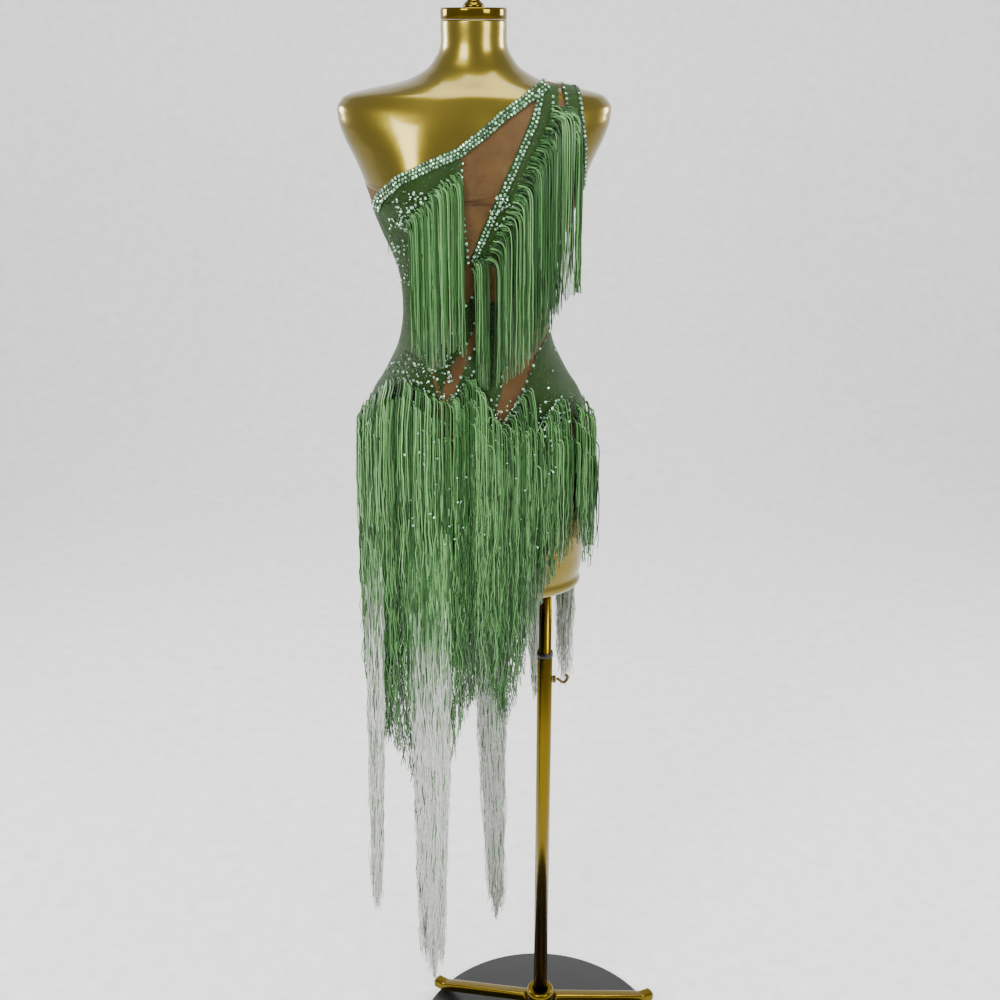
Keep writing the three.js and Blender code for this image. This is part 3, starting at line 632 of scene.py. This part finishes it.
STONE_EDGES = [
    # side, edge, spacing in mm
    ("front", [(5, 1403), (-12, 1378), (-27, 1347), (-36, 1330), (-55, 1287)], 13),
    ("front", [(5, 1370), (-9, 1328), (-21, 1312), (-32, 1296), (-49, 1256)], 13),
    ("front", [(9, 1361), (4, 1330), (-7, 1305), (-15, 1288), (-31, 1252)], 12),
    ("front", [(80, 1381), (63, 1337), (45, 1301), (39, 1279), (27, 1225)], 12),
    ("front", [(110, 1338), (99, 1323), (87, 1307), (74, 1274), (52, 1231), (39, 1210)], 10),
    ("front", [(112, 1300), (104, 1262), (92, 1236)], 14),
    ("front", [(-15, 1570), (-16, 1524), (-13, 1484), (-8, 1439)], 8),
    ("front", [(104, 1650), (103, 1611), (97, 1580)], 6),
    ("front", [(35, 1203), (49, 1228), (69, 1256)], 5),
    ("front", [(82, 1191), (99, 1220), (121, 1241)], 5),
    ("front", [(-33, 1246), (-21, 1263), (-1, 1286)], 5),
    ("front", [(-124, 1273), (-100, 1278), (-71, 1260), (-50, 1248)], 7),
    ("back", [(-90, 1468), (-72, 1400), (-48, 1330), (-20, 1262), (-10, 1204)], 11),
    ("back", [(-80, 1502), (-10, 1518), (50, 1554), (94, 1604)], 6),
    ("back", [(12, 1418), (22, 1360), (46, 1300), (70, 1252)], 12),
    ("back", [(104, 1348), (100, 1290), (92, 1240)], 11),
]
SEQUIN_FIELDS = [
    # side, (left, right, bottom, top), distance out, count
    ("front", (-104, -58, 1488, 1536), 3.6, 90),
    ("front", (24, 56, 1486, 1530), 5.0, 50),
    ("front", (-120, -30, 1235, 1310), 3.4, 130),
    ("front", (-112, -84, 1400, 1500), 2.9, 60),
    ("front", (20, 70, 1190, 1250), 11.0, 50),
    ("front", (85, 130, 1195, 1240), 11.0, 50),
    ("front", (-110, 110, 1020, 1200), 17.0, 60),
    ("back", (-120, 120, 1190, 1250), 9.0, 120),
    ("back", (-110, 60, 1490, 1540), 4.0, 70),
]


# ---- fringe ----
HEM_FRONT = [(-190, 900), (-176, 860), (-169, 781), (-156, 702), (-113, 657), (-91, 602), (-60, 574),
             (-43, 638), (-35, 675), (-14, 746), (5, 781), (24, 763), (43, 710), (65, 798), (80, 883),
             (101, 940), (123, 981), (150, 1005), (174, 989), (190, 975)]
HEM_BACK = [(-190, 880), (-160, 780), (-120, 660), (-80, 720), (-30, 690), (0, 760), (20, 790),
            (50, 740), (79, 840), (105, 860), (130, 930), (160, 900), (190, 980)]
BUST_HEM = [(-100, 1305), (-78, 1308), (-61, 1282), (-42, 1288), (-23, 1316), (0, 1250), (26, 1248),
            (35, 1256), (63, 1281), (99, 1333), (121, 1370), (150, 1388)]
BACK_HEM = [(-150, 1425), (-100, 1404), (-50, 1344), (10, 1334), (70, 1304), (112, 1362), (150, 1390)]
FRINGES = [
    # node, side, row of sewn ends (x, z), strands, hem, hook sideways in mm, out in mm, spread in mm
    ("fringe_bust", "front", [(-92, 1496), (-84, 1505), (-70, 1519), (-54, 1538), (-37, 1550), (-20, 1560)],
     150, BUST_HEM, 7, 4.5, 4),
    ("fringe_centre", "front", [(-4, 1437), (6, 1444), (14, 1449)], 70, BUST_HEM, 6, 5.0, 4),
    ("fringe_shoulder", "front",
     [(14, 1447), (28, 1474), (42, 1505), (68, 1563), (94, 1612), (104, 1642), (128, 1636), (142, 1580)],
     300, BUST_HEM, 16, 4.5, 5),
    ("fringe_back", "back", [(-134, 1498), (-80, 1506), (-10, 1522), (50, 1558), (96, 1606), (112, 1606)],
     300, BACK_HEM, 8, 4.5, 4),
    ("fringe_hip_left", "front",
     [(-176, 1196), (-166, 1214), (-149, 1238), (-124, 1268), (-100, 1272), (-71, 1256), (-50, 1246),
      (-33, 1243), (-12, 1272), (2, 1280)],
     640, HEM_FRONT, 5, 6.0, 8),
    ("fringe_hip_middle", "front", [(-16, 1280), (2, 1266), (34, 1205), (49, 1228), (69, 1256), (77, 1262)],
     380, HEM_FRONT, 9, 7.0, 8),
    ("fringe_hip_right", "front",
     [(64, 1168), (80, 1190), (99, 1220), (121, 1241), (140, 1236), (162, 1210), (172, 1196)],
     330, HEM_FRONT, 6, 7.0, 7),
    ("fringe_hip_back_left", "back", [(-175, 1198), (-160, 1216), (-110, 1238), (-40, 1214), (-2, 1202)],
     400, HEM_BACK, 5, 6.0, 8),
    ("fringe_hip_back_middle", "back", [(0, 1202), (40, 1230), (79, 1258)], 240, HEM_BACK, 6, 6.0, 8),
    ("fringe_hip_back_right", "back", [(80, 1212), (120, 1232), (160, 1214), (172, 1198)],
     230, HEM_BACK, 5, 6.0, 7),
]
TAILS = [
    # node, side, left and right at the top, height where it pales, left and right at the end,
    # end heights, strands
    ("tail_side", "front", (-168, -138), 960, (-176, -164), (335, 380), 210),
    ("tail_long", "front", (-100, -36), 880, (-96, -58), (225, 560), 480),
    ("tail_back_centre", "back", (-14, 42), 900, (14, 40), (150, 430), 330),
    ("tail_back_pole", "back", (80, 99), 960, (88, 99), (625, 680), 110),
    ("tail_back_right", "back", (123, 158), 1000, (130, 152), (670, 800), 160),
    ("tail_back_left", "back", (-119, -72), 880, (-108, -78), (280, 520), 240),
]

# How a row is cut. Columns in mm: drop of each tier, raggedness of the hem; then the share drawn into
# clumps, steps along a strand, share of the sway and of the bleaching.
CUTS = {
    "hip": {"tier": 26, "ragged": 46, "gather": 0.55, "steps": 28, "sway": 1, "bleach": 1},
    "bodice": {"tier": 5, "ragged": 14, "gather": 0.35, "steps": 22, "sway": 0.35, "bleach": 0.3},
}
# The tails, in mm: height of the sewn ends, their layers, the flare outward with the height it starts
# at and its run, how far the height of bleaching varies and its run, the ragged foot, and steps.
TAIL = {"top": 1150, "layer": 5, "flare": 9, "flare_from": 1080, "flare_run": 200, "vary": 70,
        "bleach_run": 170, "ragged": 120, "steps": 26}
REACH = 141  # strands hook no further from the middle than the armhole, in mm
BEND = 13.0  # the drop over which a strand turns down from its sewn end, in mm
HIP_LINE = 1090  # the widest section: below it a strand hangs free at its size
SHORTEST = 60
CLUMP = 6  # strands in a clump, on average
WAVES = ((170.0, 1.0), (74.0, 0.6), (38.0, 0.4))  # wavelength in mm and share of the sway
SWAY_RUN, SWAY_SHARE = 420, 0.8
DEEPEN = {"from": 1080, "run": 420, "loss": 0.38, "channels": np.array([1.0, 0.45, 1.0])}


def hang(x, z, side, end, out, hook, fan_out, steps):
    """Strands that leave the cloth sideways, turn down and hang. Sideways travel grows as one minus
    an exponential; the drop starts level and becomes straight. Where the form swells, a strand is
    pushed out to the section's superellipse, and where it shrinks the strand hangs free."""
    s = np.linspace(0, 1, steps) ** 1.25
    length = (z - end)[:, None] * s[None]
    drop = length - BEND * (1 - np.exp(-length / BEND))
    heights = z[:, None] - drop
    sideways = hook[:, None] * (1 - np.exp(-length / (BEND * 0.7)))
    path = np.empty((len(x), steps, 3))
    sign = -1.0 if side == "front" else 1.0
    px, py = x.copy(), np.zeros(len(x))
    for k in range(steps):
        if k:
            px = px + sideways[:, k] - sideways[:, k - 1]
        zk = heights[:, k]
        width, front, back, power = section(np.maximum(zk, HIP_LINE))
        width, depth = width + out, (front if side == "front" else back) + out
        room = np.clip(1 - (np.abs(px) / width) ** power, 0, 1) ** (1 / power)
        if k == 0:
            py = depth * room
        level = ((np.abs(px) / width) ** power + (np.abs(py) / depth) ** power) ** (1 / power)
        push = np.where(level < 1, 1 / np.maximum(level, 0.2), 1)
        px, py = px * push, py * push
        if side == "front":
            py = np.maximum(py, depth * room + cup(px, zk) * (np.abs(px) < width))
        path[:, k] = np.column_stack([TORSO_X + px, sign * py, zk])
    path[..., 0] += fan_out[:, None] * s[None] ** 2
    return path, s


def swayed(path, s, side, kink, rng):
    """Adds kinks that grow towards the ends: three sine waves of falling length and own phase."""
    count = len(path)
    sway = np.zeros(path.shape[:2])
    lift = np.zeros(path.shape[:2])
    length = path[:, :1, 2] - path[:, :, 2]
    for wave, share in WAVES:
        phase = rng.uniform(0, 2 * np.pi, (2, count, 1))
        stretch = rng.uniform(0.8, 1.3, (count, 1))
        sway += share * np.sin(length / wave * 2 * np.pi * stretch + phase[0])
        lift += share * np.sin(length / wave * 2 * np.pi * stretch + phase[1])
    grow = kink * np.clip(length / SWAY_RUN, 0, 1) ** 0.9
    path[..., 0] += sway * grow * SWAY_SHARE
    path[..., 1] += (-1 if side == "front" else 1) * np.abs(lift) * grow * SWAY_SHARE
    return path


def tubes(name, path, radius, tone, material):
    """Three-sided cords along paths, each closed at both ends. The section is square to the path:
    one axis is the body's level tangent made square to it, the other their cross product."""
    count, steps = path.shape[:2]
    along = np.gradient(path, axis=1)
    along /= np.linalg.norm(along, axis=2, keepdims=True)
    out = path.mean(1) - [TORSO_X, 0, 0]
    level = np.stack([-out[:, 1], out[:, 0], 0 * out[:, 0]], -1)
    level /= np.linalg.norm(level, axis=1, keepdims=True)
    side = level[:, None] - (level[:, None] * along).sum(2, keepdims=True) * along
    side /= np.linalg.norm(side, axis=2, keepdims=True)
    other = np.cross(along, side)
    turn = np.array([0.0, 2.0, 4.0]) * np.pi / 3
    points = path[:, :, None] + radius[:, :, None, None] * (
        np.cos(turn)[:, None] * side[:, :, None] + np.sin(turn)[:, None] * other[:, :, None])
    shift = (np.arange(count) * steps * 3)[:, None, None]
    quads = (grid_quads(steps, 3, True)[None] + shift).reshape(-1, 4)
    caps = np.array([[0, 2, 1], [steps * 3 - 3, steps * 3 - 2, steps * 3 - 1]])
    caps = (caps[None] + shift).reshape(-1, 3)
    tones = np.repeat(tone, 3, 1).reshape(-1, 3)
    return put(name, points.reshape(-1, 3), [quads, caps], material, tone=tones)


def painted_shade_and_dye(colours, depth, fade, z):
    """Each strand's tone, painted shade to painted highlight: dark to middle to light by its depth
    share, deeper lower down, then fading to the real bleached pale."""
    dark, middle, light, pale = colours
    share = depth[:, None, None]
    tone = np.where(share < 0.5, dark + (middle - dark) * share * 2,
                    middle + (light - middle) * (share * 2 - 1))
    deeper = np.clip((DEEPEN["from"] - z) / DEEPEN["run"], 0, 1)[..., None]
    tone = tone * (1 - DEEPEN["loss"] * deeper * DEEPEN["channels"])
    return tone * (1 - fade[..., None]) + pale * fade[..., None]


def green_fringe(spec, settings, material, colours, index):
    """One sewn row of cords in bundles: clumps of neighbours drawn together further down."""
    name, side, row, count, hem, hook, out, spread = spec
    rng = np.random.default_rng(SEED + index)
    at = np.sort(rng.uniform(0, 1, count))
    chain = resampled(row, 400)
    pick = np.clip((at * 399).astype(int), 0, 399)
    x, z = chain[pick, 0], chain[pick, 1]
    hip = "hip" in name
    cut = CUTS["hip" if hip else "bodice"]
    tier = rng.integers(0, 3, count)
    z = z - tier * cut["tier"] + rng.normal(0, 2.0, count)
    hook = np.full(count, float(hook)) if hip else np.clip(REACH - x, 0, hook)
    final = x + hook
    hems = np.array(hem, float)
    end = np.interp(final, hems[:, 0], hems[:, 1])
    ragged = rng.exponential(cut["ragged"], count) * (rng.uniform(0, 1, count) > 0.3)
    end = np.minimum(end + ragged, z - SHORTEST)
    clump = (np.arange(count) / CLUMP + rng.uniform(0, 0.8, count)).astype(int)
    centre = np.bincount(clump, final) / np.maximum(np.bincount(clump), 1)
    gather = (centre[clump] - final) * cut["gather"] + rng.normal(0, 1.6, count)
    layer = out + rng.uniform(0, spread, count)
    path, s = hang(x, z, side, end, layer, hook + rng.normal(0, 1.2, count), gather, cut["steps"])
    path = swayed(path, s, side, settings.kink * cut["sway"], rng)
    # Painted shade and highlight: strands laid further out take lighter tones and those beneath darker ones,
    # with a random share.
    depth = np.clip(rng.beta(1.1, 1.3, count) * 0.8 + (layer - out) / spread * 0.25, 0, 1)
    fade = np.clip((s[None] - 0.72) * 1.4, 0, 1) * (rng.uniform(0, 1, (count, 1)) ** 3) * cut["bleach"]
    tone = painted_shade_and_dye(colours, depth, fade, path[..., 2])
    thick = settings.radius * rng.uniform(0.75, 1.25, (count, 1)) * (1 - 0.45 * s[None] ** 3)
    piece = tubes("strands_" + name, path, thick, tone, material)
    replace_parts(piece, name)
    return piece


def pale_tail(spec, settings, material, colours, index):
    """A long tail: many fine strands that narrow to ragged points and bleach on the way down."""
    name, side, top, pale_from, foot, ends, count = spec
    rng = np.random.default_rng(SEED + 40 + index)
    share = np.sort(rng.uniform(0, 1, count))
    x = top[0] + (top[1] - top[0]) * share
    goal = foot[0] + (foot[1] - foot[0]) * share
    end = ends[0] + (ends[1] - ends[0]) * rng.uniform(0, 1, count) ** 1.7
    middle = 1 - np.abs(share - 0.55) * 1.3
    end = end + (1 - middle) * TAIL["ragged"] * rng.uniform(0.4, 1, count)
    z = TAIL["top"] + rng.normal(0, 10, count)
    layer = TAIL["layer"] + rng.uniform(0, TAIL["layer"], count)
    drift = goal - x + rng.normal(0, 2, count)
    path, s = hang(x, z, side, end, layer, np.zeros(count), drift, TAIL["steps"])
    flare = TAIL["flare"] if side == "back" else -TAIL["flare"]
    path[..., 1] += flare * np.clip((TAIL["flare_from"] - path[..., 2]) / TAIL["flare_run"], 0, 1)
    path = swayed(path, s, side, settings.kink * 0.8, rng)
    # Painted shade and highlight: a random depth share gives each strand a tone from fairly dark to light.
    depth = rng.uniform(0.3, 1.0, count)
    pale = pale_from + rng.normal(0, TAIL["vary"], (count, 1))
    fade = np.clip((pale - path[..., 2]) / TAIL["bleach_run"], 0, 1)
    fade = fade * (rng.uniform(0, 1, (count, 1)) > 0.1)
    tone = painted_shade_and_dye(colours, depth, fade * 0.97, path[..., 2])
    thick = settings.fine * rng.uniform(0.7, 1.3, (count, 1)) * (1 - 0.4 * s[None] ** 2)
    piece = tubes("strands_" + name, path, thick, tone, material)
    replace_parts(piece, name)
    return piece


# ---- form and stand ----
FORM_ROWS = [(918, 950, 14), (956, 1600, 110), (1604, 1746, 56)]  # from, to and number of levels
FORM_SIDES = 128
NECK_PARTS = [
    # node, piece, profile of (radius, height) in mm, bend at its corners, sides, slot, body
    ("neck_cap", "neck_cap_band", [(0, 1746.3), (44.6, 1746.3), (44.6, 1758.8), (43.4, 1761), (0, 1761)],
     1.0, 96, "gold_plated_steel", "upper"),
    ("neck_finial", "neck_finial_turned",
     [(0, 1761.3), (15, 1761.3), (13, 1766), (8, 1770), (7, 1776), (12, 1783), (14, 1792), (11, 1802),
      (4, 1809), (0, 1812)], 2.4, 72, "gold_plated_steel", "upper"),
]
STAND_PARTS = [
    # the same columns; a bend of 0 leaves the corners as they are
    ("base_disc", "disc_enamelled",
     [(0, 0), (32, 0), (32, 8.5), (216.5, 8.5), (216.5, 0), (222.5, 0), (222.5, 12), (0, 12)],
     1.6, 128, "black_enamel", "stand"),
    ("base_hub", "hub_turned",
     [(0, 12.3), (34, 12.3), (34, 17.3), (18, 24.3), (18, 80), (24.3, 84), (24.3, 122), (21.3, 128),
      (12.4, 128), (12.4, 60), (0, 60)], 1.8, 72, "gold_plated_steel", "stand"),
    ("outer_tube", "tube_outer",
     [(10.3, 60.3), (12.1, 60.3), (12.1, 794.4), (11.7, 795), (10.3, 795), (10.3, 60.3)],
     0, 72, "gold_plated_steel", "stand"),
    ("tube_collar", "collar_nylon",
     [(10.3, 795.3), (12.9, 795.3), (13.1, 799), (12.6, 803), (10.3, 803), (10.3, 795.3)],
     0, 72, "black_nylon", "stand"),
    ("inner_tube", "tube_inner", [(8.4, 300), (10, 300), (10, 985), (8.4, 985), (8.4, 300)],
     0, 72, "gold_plated_steel", "upper"),
    ("socket_ring", "ring_nylon",
     [(10.3, 905), (14, 905), (14.3, 909), (13.6, 914), (10.3, 914), (10.3, 905)],
     0, 72, "black_nylon", "upper"),
]
NUT_PATH = [(12.4, 0, 753), (13, 0, 753), (17.5, 0, 753), (18, 0, 753)]
NUT_RADII = [5.6, 6, 6, 5.5]
SCREW_PATH = [(18.6, 0, 753), (20.5, 0, 753), (23.5, 0, 751.5), (27.5, 0, 748), (32, 0, 747.5),
              (36, 0, 752), (36.5, 0, 758), (33.5, 0, 761)]
SCREW_RADIUS = 2.4
ARM_TURNS = (("left", 145), ("right", 25), ("front", 265))  # degrees round the pole
ARM_PATH = [(24.8, 0, 97.5), (60, 0, 84), (110, 0, 64), (160, 0, 44.5), (196, 0, 30), (212, 0, 23.5),
            (225, 0, 22.5), (238, 0, 22.5)]
ARM_REACH, ARM_RADII = (24, 26, 234, 238), (9, 10, 10, 5.5)  # the half width at each reach
ARM_FLATNESS, ARM_SQUARENESS, ARM_SIDES = 0.86, 4.5, 28


def curved(points, count):
    """A Catmull-Rom curve through the points, at even steps of its parameter."""
    points = np.array(points, float)
    ends = np.concatenate([[2 * points[0] - points[1]], points, [2 * points[-1] - points[-2]]])
    at = np.linspace(0, len(points) - 1 - 1e-6, count)
    i = at.astype(int)
    t = (at - i)[:, None]
    a, b, c, d = (ends[i + k] for k in range(4))
    return 0.5 * (2 * b + (c - a) * t + (2 * a - 5 * b + 4 * c - d) * t**2 + (3 * b - a - 3 * c + d) * t**3)


def turned(parts, centre_x, finishes):
    """Turns each row of a table on the lathe and stands it in for its node."""
    for node, name, profile, bend, sides, slot, body in parts:
        profile = rounded(profile, bend) if bend else profile
        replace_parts(lathe(name, profile, centre_x, finishes[slot], body, sides), node)


def base_arm(name, degrees, plating):
    """One arm: its side view turned out from the pole, flatter than it is wide, with a blunt end."""
    ray = np.array([math.cos(math.radians(degrees)), math.sin(math.radians(degrees))])
    profile = curved(ARM_PATH, 60)
    path = np.column_stack([np.outer(profile[:, 0], ray), profile[:, 2]])
    swell = np.interp(profile[:, 0], ARM_REACH, ARM_RADII)
    arm = sweep("arm_" + name, path, swell, swell * ARM_FLATNESS, plating, "stand",
                ARM_SQUARENESS, ARM_SIDES)
    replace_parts(arm, "base_arm_" + name)


# ---- operators ----
class DRESS_OT_form(bpy.types.Operator):
    """Build the gold form, its neck cap and finial"""
    bl_idname = "dress.form"
    bl_label = "Form"

    def execute(self, context):
        settings = context.scene.dress_form
        gold = gold_lacquer(settings.gold)
        plating = plated_steel("brass_plated_steel_polished", settings.plating, 0.12)
        turns = np.linspace(0, 2 * np.pi, FORM_SIDES, endpoint=False)
        heights = np.concatenate([np.linspace(*levels) for levels in FORM_ROWS])
        turn, z = np.meshgrid(turns, heights)
        points = body_point(turn, z).reshape(-1, 3)
        count = len(points)
        points = np.concatenate([points, [[TORSO_X, 0, heights[0]], [TORSO_X, 0, heights[-1]]]])
        ring = np.arange(FORM_SIDES)
        faces = [grid_quads(len(heights), FORM_SIDES, True), fan(ring, count, True),
                 fan(ring + count - FORM_SIDES, count + 1, False)]
        form = put("form_shell", points, faces, gold)
        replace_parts(form, "form_torso")
        turned(NECK_PARTS, TORSO_X, {"gold_plated_steel": plating})
        return {"FINISHED"}


class DRESS_OT_stand(bpy.types.Operator):
    """Build the tubes, clamp, hub, arms and base disc"""
    bl_idname = "dress.stand"
    bl_label = "Stand"

    def execute(self, context):
        plating = plated_steel("brass_plated_steel_tube", context.scene.dress_form.plating, 0.2)
        enamel = coated("black_enamel_sprayed", "141515", 0.35, 900)
        nylon = coated("black_nylon_moulded", "0c0c0c", 0.45, 700)
        iron = plated_steel("browned_steel_screw", "5a4f35", 0.35)
        turned(STAND_PARTS, 0, {"gold_plated_steel": plating, "black_enamel": enamel, "black_nylon": nylon})
        nut = sweep("clamp_nut", NUT_PATH, NUT_RADII, NUT_RADII, plating, "stand",
                    sides=6)
        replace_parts(nut, "clamp_boss")
        hook = sweep("clamp_hook", curved(SCREW_PATH, 40), SCREW_RADIUS, SCREW_RADIUS, iron,
                     "clamp_screw")
        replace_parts(hook, "clamp_screw")
        for name, degrees in ARM_TURNS:
            base_arm(name, degrees, plating)
        return {"FINISHED"}


CARRIED = {"front": [], "back": []}  # what is sewn or set on each mesh, filled as it is made


class DRESS_OT_panels(bpy.types.Operator):
    """Cut and lay the nude mesh and the green panels"""
    bl_idname = "dress.panels"
    bl_label = "Panels"

    def execute(self, context):
        cloth = context.scene.dress_cloth
        fabrics = {"nude": (knitted("nude_power_mesh_knit", cloth.nude, 0.82, 0.0), "nude_mesh"),
                   "green": (knitted(GREEN_KNIT, cloth.green, 0.84, 0.4), "green_stretch")}
        for name, side, out, kind, left, right in PANELS:
            crease = cloth.crease if name in CREASED else cloth.crease * LESS_CREASED
            cloth_panel(name, side, out, left, right, *fabrics[kind],
                                       crease if kind == "green" else 0)
        return {"FINISHED"}


class DRESS_OT_stones(bpy.types.Operator):
    """Set the stones on their tapes and edges, and scatter the sequins"""
    bl_idname = "dress.stones"
    bl_label = "Stones"

    def execute(self, context):
        stone = context.scene.dress_stones
        glass = foiled_glass("foiled_glass_stone_cut", stone.colour, 0.08)
        film = foiled_glass("sequin_film_pressed", stone.colour, 0.16)
        rng = np.random.default_rng(SEED)
        for name, side, edge, spacing, rows, pitch, width in TRIMS:
            places = along_edge(edge, side, spacing, rows, pitch, TRIM_OUT, rng)
            gems = stones("stones_" + name, places, 0.22, stone.radius, (0.8, 1.15), glass, rng)
            tape = trim_tape(name, side, edge, width, bpy.data.materials[GREEN_KNIT])
            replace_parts(gems, name)
            CARRIED[side] += [gems, tape]
        for side, carried in CARRIED.items():
            places = joined([along_edge(edge, s, step, 1, 0, EDGE_OUT, rng)
                             for s, edge, step in STONE_EDGES if s == side])
            carried.append(stones("stones_edges_" + side, places, 0.2, stone.radius, (0.85, 1.2), glass, rng))
            centres, normals = joined([scattered(box, s, count, out, rng)
                                       for s, box, out, count in SEQUIN_FIELDS if s == side])
            centres = centres + normals * rng.uniform(0, 1, (len(centres), 1))
            carried.append(stones("sequins_" + side, (centres, normals), 0.6, 1.0, (1.1, 2.3), film, rng,
                                  SEQUIN_HEIGHT))
        return {"FINISHED"}


def sew_strands(context, maker, rows, cord):
    """Makes each row of strands and counts it among what its mesh carries."""
    strand = context.scene.dress_fringe
    colours = [linear(c) for c in (strand.dark, strand.middle, strand.light, strand.pale)]
    for index, spec in enumerate(rows):
        CARRIED[spec[1]].append(maker(spec, strand, cord, colours, index))


class DRESS_OT_fringe(bpy.types.Operator):
    """Sew on the rows of green fringe"""
    bl_idname = "dress.fringe"
    bl_label = "Fringe"

    def execute(self, context):
        sew_strands(context, green_fringe, FRINGES, rayon_cord("green_rayon_cord_twisted", 0.42))
        return {"FINISHED"}


class DRESS_OT_tails(bpy.types.Operator):
    """Sew on the long pale tails"""
    bl_idname = "dress.tails"
    bl_label = "Tails"

    def execute(self, context):
        sew_strands(context, pale_tail, TAILS, rayon_cord("bleached_rayon_strand_twisted", 0.5))
        return {"FINISHED"}


COVE = {"half": 9000, "back": 2600, "bend": 1500, "tall": 7000, "steps": 24}  # the paper, in mm
PAPER_GLOW, WORLD_GLOW = 0.42, 0.55
AIM_HEIGHT = 1.15  # where the lights point, in m
LIGHTS = [
    # name, place in m, size in m, power in W
    ("key", (-1.5, -2.2, 2.7), 1.1, 75),
    ("fill", (1.9, -1.9, 2.2), 1.0, 50),
    ("top", (0.0, -0.3, 3.4), 1.3, 40),
    ("rim_left", (-2.2, 1.0, 1.9), 0.7, 45),
    ("rim_right", (2.2, 1.0, 1.9), 0.7, 45),
]
CAMERA_PLACE, CAMERA_PITCH = (-0.072, -1.79, 1.749), 69  # m, and degrees up from straight down
SENSOR = 36  # mm


def stood(context, name, data, place, turn):
    """Links a light or the camera at its place."""
    made = bpy.data.objects.new(name, data)
    made.location, made.rotation_euler = place, turn
    context.scene.collection.objects.link(made)
    return made


class DRESS_OT_stage(bpy.types.Operator):
    """Lay the pale floor, set the studio lights and the camera"""
    bl_idname = "dress.stage"
    bl_label = "Stage"

    def execute(self, context):
        settings = context.scene.dress_stage
        paper = coated("matt_white_paper", settings.floor, 0.9, 30)
        set_shader(paper.node_tree.nodes["Principled BSDF"], Emission_Color=(1, 1, 1, 1),
                   Emission_Strength=PAPER_GLOW)
        half, back, bend = COVE["half"], COVE["back"], COVE["bend"]
        arc = np.linspace(0, np.pi / 2, COVE["steps"])
        run = np.concatenate([[-half], back + bend * np.sin(arc), [back + bend]])
        rise = np.concatenate([[0], bend * (1 - np.cos(arc)), [COVE["tall"]]])
        points = np.stack([np.column_stack([np.full(len(run), x), run, rise]) for x in (half, -half)], 1)
        floor = put("floor", points.reshape(-1, 3), [grid_quads(len(run), 2, False)], paper, None)
        world = bpy.data.worlds.new("studio")
        world.use_nodes = True
        world.node_tree.nodes["Background"].inputs[0].default_value = (1, 1, 1, 1)
        world.node_tree.nodes["Background"].inputs[1].default_value = WORLD_GLOW
        context.scene.world = world
        for name, place, size, power in LIGHTS:
            light = bpy.data.lights.new(name, "AREA")
            light.size, light.energy = size, power
            away = np.array(place) - np.array([TORSO_X * MM, 0, AIM_HEIGHT])
            stood(context, name, light, place,
                  (math.atan2(math.hypot(away[0], away[1]), away[2]), 0, math.atan2(away[0], -away[1])))
        camera = bpy.data.cameras.new("camera")
        camera.lens, camera.sensor_width = settings.lens, SENSOR
        context.scene.camera = stood(context, "camera", camera, CAMERA_PLACE,
                                     (math.radians(CAMERA_PITCH), 0, 0))
        return {"FINISHED"}


class DRESS_PT_panel(bpy.types.Panel):
    bl_idname = "DRESS_PT_panel"
    bl_label = "Dress"
    bl_space_type = "VIEW_3D"
    bl_region_type = "UI"
    bl_category = "Dress"

    def draw(self, context):
        for operator in OPERATORS:
            self.layout.operator(operator.bl_idname)


GROUPS = {"dress_form": FormSettings, "dress_cloth": ClothSettings, "dress_stones": StoneSettings,
          "dress_fringe": FringeSettings, "dress_stage": StageSettings}
OPERATORS = (DRESS_OT_stage, DRESS_OT_form, DRESS_OT_stand, DRESS_OT_panels, DRESS_OT_stones,
             DRESS_OT_fringe, DRESS_OT_tails)


def register():
    for cls in (*GROUPS.values(), *OPERATORS, DRESS_PT_panel):
        bpy.utils.register_class(cls)
    for name, group in GROUPS.items():
        setattr(bpy.types.Scene, name, bpy.props.PointerProperty(type=group))


def unregister():
    for name in GROUPS:
        delattr(bpy.types.Scene, name)
    for cls in (DRESS_PT_panel, *reversed(OPERATORS), *GROUPS.values()):
        bpy.utils.unregister_class(cls)


def main():
    register()
    bpy.ops.dress.stage()
    bpy.ops.dress.form()
    bpy.ops.dress.stand()
    bpy.ops.dress.panels()
    bpy.ops.dress.stones()
    bpy.ops.dress.fringe()
    bpy.ops.dress.tails()


if __name__ == "__main__":
    main()
